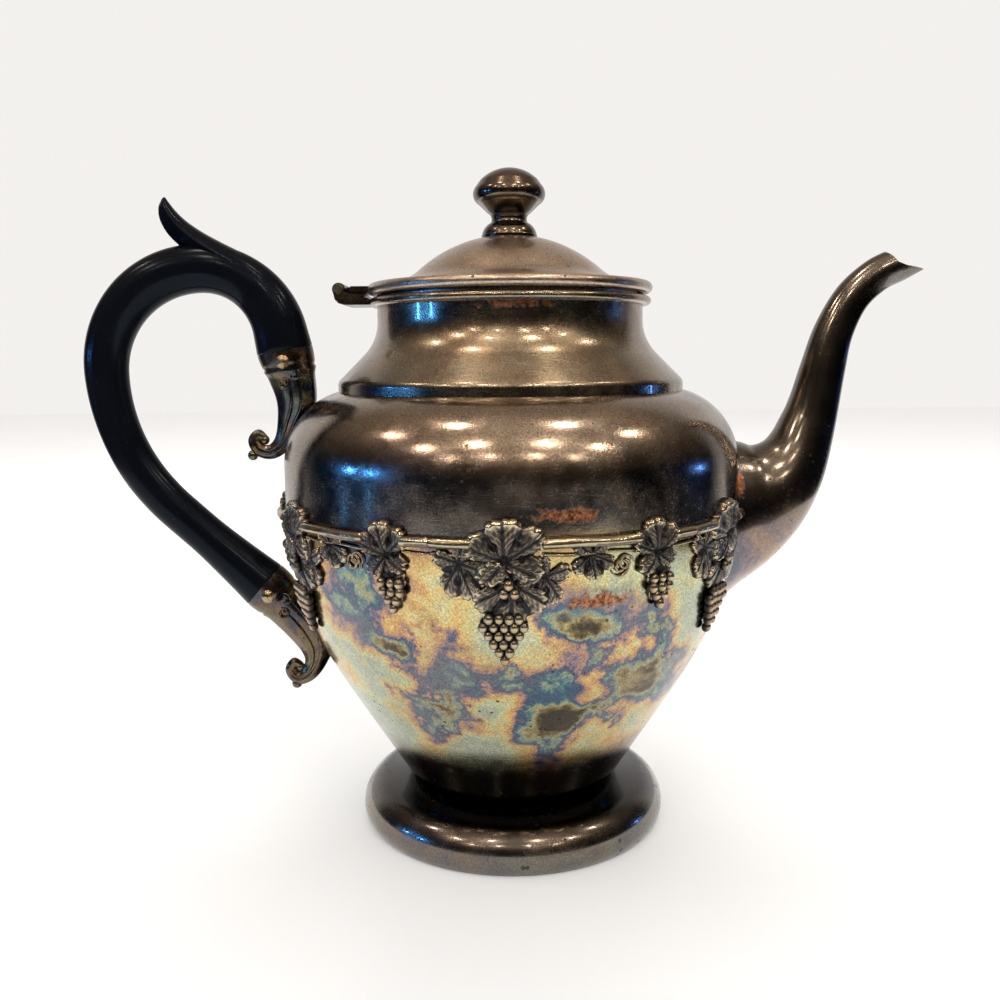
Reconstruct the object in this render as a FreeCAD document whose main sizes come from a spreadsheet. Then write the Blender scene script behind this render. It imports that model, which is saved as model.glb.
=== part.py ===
import FreeCAD, Part
import math
import os

import Sketcher
from FreeCAD import Placement, Rotation, Vector

# Footed silver-plated teapot, in millimetres.
# +Z is up from the table, the spout points along +X and the handle along -X.

doc = FreeCAD.newDocument("Teapot")
sheet = doc.addObject("Spreadsheet::Sheet", "sizes")

cells = (
    ("sheet_wall", "1.0", "wall of the spun bowl, neck and foot"),
    ("solder_gap", "0.05", "film of solder between curved seats"),
    ("foot_radius", "47.2", "widest radius of the foot"),
    ("foot_rest_radius", "45.2", "outer radius of the flat edge it stands on"),
    ("foot_rest_width", "1.8", "width of that flat edge"),
    ("foot_bulge_height", "4.5", "height of the widest place"),
    ("foot_crown_arc", "9.0", "rounding of the foot's shoulder"),
    ("foot_crown_angle", "80", "how far that rounding turns, degrees"),
    ("foot_height", "16.2", "table to bowl floor"),
    ("foot_seat_width", "6.0", "flange soldered under the bowl"),
    ("waist_radius", "30.0", "narrowest place between foot and bowl"),
    ("belly_radius", "68.1", "widest radius of the bowl"),
    ("belly_rise", "84.8", "bowl floor to the start of the upright belly"),
    ("belly_upright", "11.0", "height of the upright belly"),
    ("belly_arc", "100.0", "rounding of the lower belly"),
    ("bowl_cone_angle", "32", "slope of the bowl above the foot, from upright, degrees"),
    ("bowl_base_fillet", "5.0", "rounding between floor and side"),
    ("shoulder_arc", "22.0", "rounding of the shoulder"),
    ("ledge_margin", "0.7", "shoulder seen outside the neck's edge"),
    ("ledge_lap", "2.6", "ledge reaching inside the neck's edge"),
    ("neck_base_radius", "51.6", "edge of the neck on the shoulder"),
    ("neck_skirt", "3.1", "upright edge of the neck"),
    ("neck_edge_round", "2.4", "rounding above that edge"),
    ("neck_slope", "45", "slope of the neck, from upright, degrees"),
    ("throat_radius", "39.6", "narrowest outer radius of the neck"),
    ("throat_arc", "14.0", "hollow rounding of the neck"),
    ("throat_upright", "6.6", "upright top of the neck"),
    ("rim_radius", "42.0", "outer radius of the mouth wire"),
    ("rim_thickness", "2.6", "height of the mouth wire"),
    ("lid_gap", "0.8", "mouth wire to lid edge"),
    ("lid_wall", "1.0", "wall of the lid"),
    ("lid_rim_radius", "42.4", "outer radius of the lid edge"),
    ("lid_rim_thickness", "3.4", "height of the lid edge"),
    ("lid_edge_width", "2.7", "width of the lid edge's foot"),
    ("lid_flange_slope", "6", "fall of the lid's flange, degrees"),
    ("lid_cove_arc", "12.0", "hollow rounding between flange and dome"),
    ("lid_dome_arc", "41.0", "radius of the dome"),
    ("lid_dome_angle", "42", "how far the dome turns, degrees"),
    ("bezel_clearance", "0.6", "lid ring to the inside of the neck"),
    ("bezel_wall", "0.9", "wall of the lid ring"),
    ("bezel_depth", "3.6", "how far the lid ring enters the mouth"),
    ("finial_collar_radius", "8.3", "collar on the lid"),
    ("finial_collar_edge", "0.9", "upright edge of the collar"),
    ("finial_collar_rise", "3.4", "rounded top of the collar"),
    ("finial_waist_radius", "5.6", "radius where collar and waist meet"),
    ("finial_waist_rise", "2.8", "height of the waist"),
    ("finial_cup_radius", "9.4", "radius where the knob begins"),
    ("finial_cup_rise", "2.8", "height of the cup under the knob"),
    ("finial_knob_radius", "10.0", "radius at the top of the knob's band"),
    ("finial_knob_rise", "4.8", "height of the knob's band"),
    ("finial_knob_arc", "3.4", "rounding of the knob's band"),
    ("finial_cap_radius", "8.6", "radius of the top button"),
    ("finial_cap_step", "1.9", "slope below the top button"),
    ("finial_cap_rise", "3.55", "height of the top button"),
    ("shank_radius", "1.9", "shank of the finial"),
    ("shank_length", "7.0", "shank below the top of the dome"),
    ("shank_clearance", "0.08", "shank to the holes it passes"),
    ("washer_radius", "5.0", "outer radius of the washer"),
    ("washer_thickness", "0.8", "thickness of the washer"),
    ("nut_across", "7.6", "nut across its corners"),
    ("nut_height", "3.0", "height of the nut"),
    ("hinge_reach", "7.6", "lid edge to the hinge pin"),
    ("knuckle_radius", "1.9", "radius of the knuckles"),
    ("knuckle_length", "6.0", "length of each knuckle"),
    ("knuckle_gap", "0.15", "side gap between knuckles"),
    ("hinge_pin_radius", "0.9", "radius of the hinge pin"),
    ("hinge_pin_clearance", "0.05", "hinge pin to its holes"),
    ("hinge_pin_head", "0.6", "thickness of the pin's heads"),
    ("leaf_thickness", "1.8", "thickness of the hinge leaves"),
    ("spout_reach", "56.5", "belly to the tip of the beak"),
    ("spout_rise", "67.4", "belly height to the tip of the beak"),
    ("spout_base_half", "22.1", "half height of the spout near the bowl"),
    ("spout_tip_half", "5.1", "half height of the spout near the beak"),
    ("spout_wall", "1.1", "wall of the spout"),
    ("spout_base_roundness", "0.79", "width to height near the bowl"),
    ("spout_tip_roundness", "0.88", "width to height near the beak"),
    ("strainer_hole_radius", "1.5", "radius of each strainer hole"),
    ("strainer_pitch", "5.2", "spacing of the strainer holes"),
    ("upper_joint_rise", "44.5", "belly height to the upper end of the grip"),
    ("lower_joint_drop", "27.7", "belly height down to the lower end of the grip"),
    ("lower_joint_outset", "9.0", "belly to the lower end of the grip"),
    ("grip_half", "7.3", "half thickness of the grip over its top"),
    ("grip_slim_half", "6.15", "half thickness on the lower sweep, where the grip is slimmest"),
    ("grip_upper_half", "8.4", "half thickness at the upper socket"),
    ("grip_lower_half", "7.9", "half thickness at the lower socket"),
    ("grip_roundness", "0.88", "width to thickness of the grip"),
    ("grip_straight", "6.0", "straight start above the upper socket"),
    ("grip_crook_arc", "23.3", "bend above the upper socket"),
    ("grip_bow_arc", "31.0", "bend at the outer top"),
    ("spur_length", "23.0", "length of the thumb spur"),
    ("spur_half", "5.0", "half width of the spur's root"),
    ("socket_roundness", "0.85", "width to thickness of the sockets"),
    ("tenon_radius", "4.5", "tenons on the grip"),
    ("tenon_length", "9.0", "length of the tenons"),
    ("tenon_clearance", "0.12", "tenon to its pocket"),
    ("rivet_radius", "1.1", "cross rivets"),
    ("rivet_head_radius", "2.0", "heads of the cross rivets"),
    ("rivet_head_rise", "0.9", "height of the rivet heads"),
    ("rivet_setback", "3.3", "socket edge to rivet"),
    ("rivet_seat", "0.3", "rivet head to the widest side of the socket"),
    ("rivet_clearance", "0.05", "rivet to its hole"),
    ("vine_drop", "2.5", "start of the upright belly down to the vine stem"),
    ("vine_stem_radius", "1.3", "radius of the vine stem"),
    ("vine_leaf_relief", "2.0", "how far the main leaves stand out"),
    ("vine_side_relief", "1.3", "how far the side leaves stand out"),
    ("vine_spout_gap", "0.3", "end of the vine to the spout"),
    ("grape_radius", "1.15", "radius of one grape"),
    ("grape_pitch", "2.5", "spacing of the grapes"),
)

for row, (alias, number, note) in enumerate(cells, start=1):
    sheet.set(f"A{row}", note)
    sheet.set(f"B{row}", number)
    sheet.setAlias(f"B{row}", alias)
doc.recompute()


class Size:
    """A length or angle that knows its value and the sheet formula behind it."""

    def __init__(self, text, value):
        self.text = text
        self.value = value

    def __float__(self):
        return self.value

    def __add__(self, other):
        other = as_size(other)
        return Size(f"({self.text} + {other.text})", self.value + other.value)

    def __sub__(self, other):
        other = as_size(other)
        return Size(f"({self.text} - {other.text})", self.value - other.value)

    def __mul__(self, other):
        other = as_size(other)
        return Size(f"({self.text} * {other.text})", self.value * other.value)

    def __truediv__(self, other):
        other = as_size(other)
        return Size(f"({self.text} / {other.text})", self.value / other.value)

    def __neg__(self):
        return Size(f"(-1 * {self.text})", -self.value)


def as_size(number):
    if isinstance(number, Size):
        return number
    return Size(f"({number})" if number < 0 else f"{number}", float(number))


def cell(alias):
    return Size(f"sizes.{alias}", float(sheet.get(alias)))


def sine(angle):
    return Size(f"sin({angle.text})", math.sin(math.radians(angle.value)))


def cosine(angle):
    return Size(f"cos({angle.text})", math.cos(math.radians(angle.value)))


def tangent(angle):
    return Size(f"tan({angle.text})", math.tan(math.radians(angle.value)))


def root(square):
    return Size(f"sqrt({square.text})", math.sqrt(square.value))


def origin_plane(body, role):
    return next(item for item in body.Origin.OriginFeatures if item.Role == role)


class Outline:
    """Closed outline in a body's XZ plane; every corner and bend is bound to the sheet."""

    def __init__(self, label, radius, height):
        self.body = doc.addObject("PartDesign::Body", label)
        self.sketch = self.body.newObject("Sketcher::SketchObject", label + "_outline")
        self.sketch.AttachmentSupport = (origin_plane(self.body, "XZ_Plane"), "")
        self.sketch.MapMode = "FlatFace"
        self.corners = [(as_size(radius), as_size(height))]
        self.steps = []

    def line(self, radius, height):
        self.steps.append(None)
        self.corners.append((as_size(radius), as_size(height)))
        return self

    def left(self, radius, height, bend):
        """Arc that turns to the left on its way to the next corner."""
        self.steps.append((as_size(bend), 1))
        self.corners.append((as_size(radius), as_size(height)))
        return self

    def right(self, radius, height, bend):
        """Arc that turns to the right on its way to the next corner."""
        self.steps.append((as_size(bend), -1))
        self.corners.append((as_size(radius), as_size(height)))
        return self

    def draw(self):
        self.steps.append(None)
        ends = []
        for index, step in enumerate(self.steps):
            begin = self.corners[index]
            finish = self.corners[(index + 1) % len(self.corners)]
            ends.append(self.draw_step(begin, finish, step))
        for index, (edge, begin, finish) in enumerate(ends):
            following, next_begin, _ = ends[(index + 1) % len(ends)]
            join = Sketcher.Constraint("Coincident", edge, finish, following, next_begin)
            self.sketch.addConstraint(join)
        for (radius, height), (edge, begin, finish) in zip(self.corners, ends):
            self.bind_corner("DistanceX", -2, edge, begin, radius)
            self.bind_corner("DistanceY", -1, edge, begin, height)
        for step, (edge, begin, finish) in zip(self.steps, ends):
            if step:
                self.bind(Sketcher.Constraint("Radius", edge, step[0].value), step[0])
        doc.recompute()

    def draw_step(self, begin, finish, step):
        first = Vector(begin[0].value, begin[1].value, 0)
        last = Vector(finish[0].value, finish[1].value, 0)
        if step is None:
            return self.sketch.addGeometry(Part.LineSegment(first, last), False), 1, 2
        bend, turn = step
        chord = last - first
        offset = math.sqrt(max(bend.value ** 2 - chord.Length ** 2 / 4, 0))
        normal = Vector(-chord.y, chord.x, 0).normalize()
        centre = (first + last) / 2 + normal * (offset * turn)
        low, high = (first, last) if turn > 0 else (last, first)
        start = math.atan2(low.y - centre.y, low.x - centre.x)
        stop = math.atan2(high.y - centre.y, high.x - centre.x)
        circle = Part.Circle(centre, Vector(0, 0, 1), bend.value)
        edge = self.sketch.addGeometry(Part.ArcOfCircle(circle, start, stop), False)
        return (edge, 1, 2) if turn > 0 else (edge, 2, 1)

    def bind_corner(self, kind, axis, edge, point, distance):
        if abs(distance.value) < 1e-9:
            self.sketch.addConstraint(Sketcher.Constraint("PointOnObject", edge, point, axis))
        else:
            self.bind(Sketcher.Constraint(kind, edge, point, distance.value), distance)

    def bind(self, constraint, distance):
        index = self.sketch.addConstraint(constraint)
        self.sketch.setExpression(f"Constraints[{index}]", distance.text)

    def turn(self):
        self.draw()
        spun = self.body.newObject("PartDesign::Revolution", self.body.Label + "_turned")
        spun.Profile = self.sketch
        spun.ReferenceAxis = (self.sketch, ["V_Axis"])
        spun.Angle = 360
        self.body.Tip = spun
        doc.recompute()
        return self.body


def bind_place(item, x, y, z, rotation=Rotation()):
    x, y, z = as_size(x), as_size(y), as_size(z)
    item.Placement = Placement(Vector(x.value, y.value, z.value), rotation)
    for axis, distance in zip("xyz", (x, y, z)):
        item.setExpression(f"Placement.Base.{axis}", distance.text)


def box(name, x_range, y_range, z_range):
    block = doc.addObject("Part::Box", name)
    spans = zip(("Length", "Width", "Height"), (x_range, y_range, z_range))
    for side, (low, high) in spans:
        span = as_size(high) - as_size(low)
        setattr(block, side, span.value)
        block.setExpression(side, span.text)
    bind_place(block, x_range[0], y_range[0], z_range[0])
    return block


def rod_along_y(name, x, z, y_range, radius):
    rod = doc.addObject("Part::Cylinder", name)
    span = as_size(y_range[1]) - as_size(y_range[0])
    rod.Radius = radius.value
    rod.setExpression("Radius", radius.text)
    rod.Height = span.value
    rod.setExpression("Height", span.text)
    bind_place(rod, x, y_range[0], z, Rotation(Vector(1, 0, 0), -90))
    return rod


def fuse(name, items):
    joined = doc.addObject("Part::MultiFuse", name)
    joined.Shapes = items
    joined.Refine = False
    return joined


def cut(name, base, tool):
    trimmed = doc.addObject("Part::Cut", name)
    trimmed.Base = base
    trimmed.Tool = tool
    trimmed.Refine = False
    return trimmed


wall = cell("sheet_wall")
solder = cell("solder_gap")

# Heights and arc centres that several pieces share.
floor_z = cell("foot_height")
belly = cell("belly_radius")
belly_z = floor_z + cell("belly_rise")
shoulder_z = belly_z + cell("belly_upright")
belly_arc = cell("belly_arc")
shoulder_arc = cell("shoulder_arc")
ledge_radius = cell("neck_base_radius") + cell("ledge_margin")
shoulder_centre = belly - shoulder_arc
ledge_reach = ledge_radius - shoulder_centre
ledge_z = shoulder_z + root(shoulder_arc * shoulder_arc - ledge_reach * ledge_reach)

slope = cell("neck_slope")
throat = cell("throat_radius")
throat_arc = cell("throat_arc")
neck_base = cell("neck_base_radius")
neck_corner_z = ledge_z + cell("neck_skirt")
throat_start = throat + throat_arc * (as_size(1) - cosine(slope))
throat_z = neck_corner_z + (neck_base - throat_start) / tangent(slope) + throat_arc * sine(slope)
mouth_z = throat_z + cell("throat_upright")
neck_bore = throat - wall

lid_z = mouth_z + cell("lid_gap")
lid_wall = cell("lid_wall")
lid_rim = cell("lid_rim_radius")
bead = cell("lid_rim_thickness") / 2
bead_radius = lid_rim - bead
bead_z = lid_z + bead
fall = cell("lid_flange_slope")
cove = cell("lid_cove_arc")
dome = cell("lid_dome_arc")
dome_angle = cell("lid_dome_angle")
flange_radius = bead_radius + bead * sine(fall)
flange_z = bead_z + bead * cosine(fall)
cove_centre = (dome + cove) * sine(dome_angle)
cove_radius = cove_centre - cove * sine(fall)
cove_z = flange_z + (flange_radius - cove_radius) * tangent(fall)
dome_centre_z = cove_z + cove * cosine(fall) - (dome + cove) * cosine(dome_angle)
dome_top_z = dome_centre_z + dome

hinge_x = -(lid_rim + cell("hinge_reach"))
hinge_z = bead_z


def make_foot():
    radius = cell("foot_radius")
    rest = cell("foot_rest_radius")
    rest_inner = rest - cell("foot_rest_width")
    bulge_z = cell("foot_bulge_height")
    crown = cell("foot_crown_arc")
    angle = cell("foot_crown_angle")
    waist = cell("waist_radius")
    undercut = radius - rest
    edge_arc = (undercut * undercut + bulge_z * bulge_z) / (undercut * 2)
    crown_x = radius - crown + crown * cosine(angle)
    crown_z = bulge_z + crown * sine(angle)
    collar_z = crown_z + (crown_x - waist) / tangent(angle)
    inner_x = radius - crown + (crown - wall) * cosine(angle)
    inner_z = bulge_z + (crown - wall) * sine(angle)
    under_z = inner_z + (inner_x - (waist - wall)) / tangent(angle)
    seat = waist - cell("foot_seat_width")
    shape = Outline("foot", rest_inner, 0)
    shape.line(rest, 0)
    shape.left(radius, bulge_z, edge_arc)
    shape.left(crown_x, crown_z, crown)
    shape.line(waist, collar_z)
    shape.line(waist, floor_z)
    shape.line(seat, floor_z)
    shape.line(seat, floor_z - wall)
    shape.line(waist - wall, floor_z - wall)
    shape.line(waist - wall, under_z)
    shape.line(inner_x, inner_z)
    shape.right(radius - wall, bulge_z, crown - wall)
    return shape.turn()


def make_bowl():
    angle = cell("bowl_cone_angle")
    fillet = cell("bowl_base_fillet")
    cone_x = belly - belly_arc + belly_arc * cosine(angle)
    cone_z = belly_z - belly_arc * sine(angle)
    corner_x = cone_x - (cone_z - floor_z) * tangent(angle)
    flat_x = corner_x - fillet * cosine(angle) / (as_size(1) + sine(angle))
    inner_arc = belly_arc - wall
    inner_ledge_z = ledge_z - wall
    inner_shoulder = shoulder_arc - wall
    inner_rise = inner_ledge_z - shoulder_z
    inner_ledge = shoulder_centre + root(inner_shoulder * inner_shoulder - inner_rise * inner_rise)
    opening = neck_base - cell("ledge_lap")
    shape = Outline("bowl", 0, floor_z)
    shape.line(flat_x, floor_z)
    shape.left(flat_x + fillet * cosine(angle), floor_z + fillet - fillet * sine(angle), fillet)
    shape.line(cone_x, cone_z)
    shape.left(belly, belly_z, belly_arc)
    shape.line(belly, shoulder_z)
    shape.left(ledge_radius, ledge_z, shoulder_arc)
    shape.line(opening, ledge_z)
    shape.line(opening, inner_ledge_z)
    shape.line(inner_ledge, inner_ledge_z)
    shape.right(belly - wall, shoulder_z, inner_shoulder)
    shape.line(belly - wall, belly_z)
    shape.right(belly - belly_arc + inner_arc * cosine(angle), belly_z - inner_arc * sine(angle), inner_arc)
    inner_fillet = fillet - wall
    shape.line(flat_x + inner_fillet * cosine(angle), floor_z + fillet - inner_fillet * sine(angle))
    shape.right(flat_x, floor_z + wall, inner_fillet)
    shape.line(0, floor_z + wall)
    body = shape.turn()
    drill_strainer(body)
    return body


def drill_strainer(body):
    pitch = cell("strainer_pitch")
    hole = cell("strainer_hole_radius")
    middle_z = belly_z - 8
    sketch = body.newObject("Sketcher::SketchObject", "strainer_holes")
    sketch.AttachmentSupport = (origin_plane(body, "YZ_Plane"), "")
    sketch.MapMode = "FlatFace"
    for row in range(-2, 3):
        count = 5 - abs(row)
        for place in range(count):
            across = pitch * (place - (count - 1) / 2)
            height = middle_z + pitch * (row * math.sqrt(3) / 2)
            add_hole(sketch, across, height, hole)
    doc.recompute()
    pocket = body.newObject("PartDesign::Pocket", "strainer")
    pocket.Profile = sketch
    pocket.Type = "Length"
    pocket.Length = belly.value + 5
    pocket.setExpression("Length", (belly + 5).text)
    pocket.Reversed = True
    body.Tip = pocket
    doc.recompute()


def add_hole(sketch, across, height, radius):
    circle = Part.Circle(Vector(across.value, height.value, 0), Vector(0, 0, 1), radius.value)
    edge = sketch.addGeometry(circle, False)
    size_index = sketch.addConstraint(Sketcher.Constraint("Radius", edge, radius.value))
    sketch.setExpression(f"Constraints[{size_index}]", radius.text)
    height_index = sketch.addConstraint(Sketcher.Constraint("DistanceY", edge, 3, height.value))
    sketch.setExpression(f"Constraints[{height_index}]", height.text)
    if abs(across.value) < 1e-9:
        sketch.addConstraint(Sketcher.Constraint("PointOnObject", edge, 3, -2))
        return
    across_index = sketch.addConstraint(Sketcher.Constraint("DistanceX", edge, 3, across.value))
    sketch.setExpression(f"Constraints[{across_index}]", across.text)


def make_neck():
    rounding = cell("neck_edge_round")
    tangent_length = rounding * tangent(slope / 2)
    skirt_z = neck_corner_z - tangent_length
    edge_x = neck_base - tangent_length * sine(slope)
    edge_z = neck_corner_z + tangent_length * cosine(slope)
    outer = throat + throat_arc
    inner_arc = throat_arc + wall
    inner_round = rounding - wall
    shape = Outline("neck_collar", neck_base - wall, ledge_z)
    shape.line(neck_base, ledge_z)
    shape.line(neck_base, skirt_z)
    shape.left(edge_x, edge_z, rounding)
    shape.line(throat_start, throat_z - throat_arc * sine(slope))
    shape.right(throat, throat_z, throat_arc)
    shape.line(throat, mouth_z)
    shape.line(neck_bore, mouth_z)
    shape.line(neck_bore, throat_z)
    shape.left(outer - inner_arc * cosine(slope), throat_z - inner_arc * sine(slope), inner_arc)
    shape.line(neck_base - rounding + inner_round * cosine(slope), skirt_z + inner_round * sine(slope))
    shape.right(neck_base - wall, skirt_z, inner_round)
    return shape.turn()


def make_mouth_rim():
    half = cell("rim_thickness") / 2
    radius = cell("rim_radius")
    shape = Outline("mouth_rim", throat + solder, mouth_z - half * 2)
    shape.line(radius - half, mouth_z - half * 2)
    shape.left(radius, mouth_z - half, half)
    shape.left(radius - half, mouth_z, half)
    shape.line(throat + solder, mouth_z)
    return shape.turn()


def make_lid():
    hole = cell("shank_radius") + cell("shank_clearance")
    inner_dome = dome - lid_wall
    inner_cove = cove + lid_wall
    edge = lid_rim - cell("lid_edge_width")
    cove_top_z = dome_centre_z + (dome + cove) * cosine(dome_angle)
    inner_cove_x = cove_centre - inner_cove * sine(fall)
    inner_cove_z = cove_top_z - inner_cove * cosine(fall)
    shape = Outline("lid", bead_radius, lid_z)
    shape.left(lid_rim, bead_z, bead)
    shape.left(flange_radius, flange_z, bead)
    shape.line(cove_radius, cove_z)
    shape.right(dome * sine(dome_angle), dome_centre_z + dome * cosine(dome_angle), cove)
    shape.left(hole, dome_centre_z + root(dome * dome - hole * hole), dome)
    shape.line(hole, dome_centre_z + root(inner_dome * inner_dome - hole * hole))
    shape.right(inner_dome * sine(dome_angle), dome_centre_z + inner_dome * cosine(dome_angle), inner_dome)
    shape.left(inner_cove_x, inner_cove_z, inner_cove)
    shape.line(edge, inner_cove_z - (edge - inner_cove_x) * tangent(fall))
    shape.line(edge, lid_z)
    return shape.turn()


def make_lid_bezel():
    outer = neck_bore - cell("bezel_clearance")
    inner = outer - cell("bezel_wall")
    under_z = cove_z - lid_wall / cosine(fall) - solder
    bottom_z = mouth_z - cell("bezel_depth")
    shape = Outline("lid_bezel", inner, bottom_z)
    shape.line(outer, bottom_z)
    shape.line(outer, under_z - (outer - cove_radius) * tangent(fall))
    shape.line(inner, under_z - (inner - cove_radius) * tangent(fall))
    return shape.turn()


def make_finial():
    shank = cell("shank_radius")
    collar = cell("finial_collar_radius")
    seat_arc = dome + solder
    seat_z = dome_centre_z + root(seat_arc * seat_arc - collar * collar)
    edge_z = seat_z + cell("finial_collar_edge")
    waist_z = edge_z + cell("finial_collar_rise")
    cup_z = waist_z + cell("finial_waist_rise")
    band_z = cup_z + cell("finial_cup_rise")
    step_z = band_z + cell("finial_knob_rise")
    cap_z = step_z + cell("finial_cap_step")
    cap = cell("finial_cap_radius")
    cap_rise = cell("finial_cap_rise")
    waist = cell("finial_waist_radius")
    shape = Outline("finial", 0, dome_top_z - cell("shank_length"))
    shape.line(shank, dome_top_z - cell("shank_length"))
    shape.line(shank, dome_centre_z + root(seat_arc * seat_arc - shank * shank))
    shape.right(collar, seat_z, seat_arc)
    shape.line(collar, edge_z)
    shape.left(waist, waist_z, cell("finial_collar_rise") * 1.35)
    shape.right(waist + 0.7, cup_z, cell("finial_waist_rise") * 0.68)
    shape.line(cell("finial_cup_radius"), band_z)
    shape.left(cell("finial_knob_radius"), step_z, cell("finial_knob_arc"))
    shape.line(cap, cap_z)
    shape.left(0, cap_z + cap_rise, (cap * cap + cap_rise * cap_rise) / (cap_rise * 2))
    return shape.turn()


def washer_top():
    inner_dome = dome - lid_wall - solder
    radius = cell("washer_radius")
    return dome_centre_z + root(inner_dome * inner_dome - radius * radius)


def make_finial_washer():
    hole = cell("shank_radius") + cell("shank_clearance")
    top_z = washer_top()
    bottom_z = top_z - cell("washer_thickness")
    shape = Outline("finial_washer", hole, bottom_z)
    shape.line(cell("washer_radius"), bottom_z)
    shape.line(cell("washer_radius"), top_z)
    shape.line(hole, top_z)
    return shape.turn()


def make_finial_nut():
    hole = cell("shank_radius") + cell("shank_clearance")
    corner = cell("nut_across") / 2
    height = cell("nut_height")
    body = doc.addObject("PartDesign::Body", "finial_nut")
    sketch = body.newObject("Sketcher::SketchObject", "nut_outline")
    sketch.AttachmentSupport = (origin_plane(body, "XY_Plane"), "")
    sketch.MapMode = "FlatFace"
    corners = []
    for side in range(6):
        turn = as_size(60 * side)
        corners.append((corner * cosine(turn), corner * sine(turn)))
    for side, (x, y) in enumerate(corners):
        next_x, next_y = corners[(side + 1) % 6]
        start = Vector(x.value, y.value, 0)
        stop = Vector(next_x.value, next_y.value, 0)
        sketch.addGeometry(Part.LineSegment(start, stop), False)
    for side in range(6):
        sketch.addConstraint(Sketcher.Constraint("Coincident", side, 2, (side + 1) % 6, 1))
    for side in range(1, 6):
        sketch.addConstraint(Sketcher.Constraint("Equal", 0, side))
    ring = Part.Circle(Vector(0, 0, 0), Vector(0, 0, 1), corner.value)
    guide = sketch.addGeometry(ring, True)
    for side in range(6):
        sketch.addConstraint(Sketcher.Constraint("PointOnObject", side, 1, guide))
    sketch.addConstraint(Sketcher.Constraint("Coincident", guide, 3, -1, 1))
    sketch.addConstraint(Sketcher.Constraint("PointOnObject", 0, 1, -1))
    bore = sketch.addGeometry(Part.Circle(Vector(0, 0, 0), Vector(0, 0, 1), hole.value), False)
    sketch.addConstraint(Sketcher.Constraint("Coincident", bore, 3, -1, 1))
    for edge, radius in ((guide, corner), (bore, hole)):
        index = sketch.addConstraint(Sketcher.Constraint("Radius", edge, radius.value))
        sketch.setExpression(f"Constraints[{index}]", radius.text)
    doc.recompute()
    pad = body.newObject("PartDesign::Pad", "nut_pad")
    pad.Profile = sketch
    pad.Length = height.value
    pad.setExpression("Length", height.text)
    body.Tip = pad
    bind_place(body, 0, 0, washer_top() - cell("washer_thickness") - height)
    doc.recompute()
    return body


def make_hinge_pot_leaf(mouth_rim):
    knuckle = cell("knuckle_radius")
    length = cell("knuckle_length")
    inner = length / 2 + cell("knuckle_gap")
    outer = inner + length
    hole = cell("hinge_pin_radius") + cell("hinge_pin_clearance")
    plate_top = mouth_z - 0.2
    plate_z = (plate_top - cell("leaf_thickness"), plate_top)
    pieces = [box("pot_leaf_plate", (hinge_x - knuckle, -(throat + 0.4)), (-outer, outer), plate_z)]
    for side, span in (("near", (-outer, -inner)), ("far", (inner, outer))):
        pieces.append(rod_along_y(f"pot_knuckle_{side}", hinge_x, hinge_z, span, knuckle))
        web = (hinge_x - knuckle, hinge_x + knuckle)
        pieces.append(box(f"pot_knuckle_web_{side}", web, span, (plate_z[0], hinge_z)))
    solid = fuse("pot_leaf_blank", pieces)
    bore = rod_along_y("pot_leaf_bore", hinge_x, hinge_z, (-outer - 1, outer + 1), hole)
    bored = cut("pot_leaf_bored", solid, bore)
    return cut("hinge_pot_leaf", bored, mouth_rim)


def make_hinge_lid_leaf(lid):
    knuckle = cell("knuckle_radius")
    half = cell("knuckle_length") / 2
    wide = half + cell("knuckle_length") - 1
    hole = cell("hinge_pin_radius") + cell("hinge_pin_clearance")
    plate_z = (hinge_z - cell("leaf_thickness") / 2, hinge_z + cell("leaf_thickness") / 2)
    plate_end = -(bead_radius - 0.2)
    plate = box("lid_leaf_plate", (hinge_x + knuckle + 1.4, plate_end), (-wide, wide), plate_z)
    tongue = box("lid_leaf_tongue", (hinge_x, hinge_x + knuckle + 2), (-half, half), plate_z)
    barrel = rod_along_y("lid_knuckle", hinge_x, hinge_z, (-half, half), knuckle)
    solid = fuse("lid_leaf_blank", [plate, tongue, barrel])
    bore = rod_along_y("lid_leaf_bore", hinge_x, hinge_z, (-half - 1, half + 1), hole)
    bored = cut("lid_leaf_bored", solid, bore)
    return cut("hinge_lid_leaf", bored, lid)


def make_hinge_pin():
    radius = cell("hinge_pin_radius")
    head = cell("hinge_pin_head")
    half = cell("knuckle_length") * 1.5 + cell("knuckle_gap") * 2
    shape = Outline("hinge_pin", 0, 0)
    shape.line(radius * 1.4, 0)
    shape.line(radius * 1.6, head)
    shape.line(radius, head)
    shape.line(radius, head + half * 2)
    shape.line(radius * 1.6, head + half * 2)
    shape.line(radius * 1.4, head * 2 + half * 2)
    shape.line(0, head * 2 + half * 2)
    body = shape.turn()
    bind_place(body, hinge_x, -(half + head), hinge_z, Rotation(Vector(1, 0, 0), -90))
    return body


def section(name, x, z, heading, half, roundness, flat=False):
    """Oval across a path in the XZ plane, in quarters; heading is the path's direction in degrees."""
    along = Vector(math.cos(math.radians(heading)), 0, math.sin(math.radians(heading)))
    across = Vector(-along.z, 0, along.x)
    sideways = Vector(0, 1, 0)
    major = sideways if flat else across
    minor = along.cross(major)
    ellipse = Part.Ellipse(Vector(0, 0, 0), float(half), float(half) * float(roundness))
    quarters = []
    for corner in range(4):
        start = corner * math.pi / 2
        quarters.append(Part.ArcOfEllipse(ellipse, start, start + math.pi / 2).toShape())
    oval = doc.addObject("Part::Feature", name)
    oval.Shape = Part.Wire(quarters)
    oval.Placement = Placement(Vector(float(x), 0, float(z)), Rotation(major, minor, along, "ZXY"))
    return oval


def loft(name, sections):
    skin = doc.addObject("Part::Loft", name)
    skin.Sections = sections
    skin.Solid = True
    skin.Ruled = False
    return skin


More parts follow.
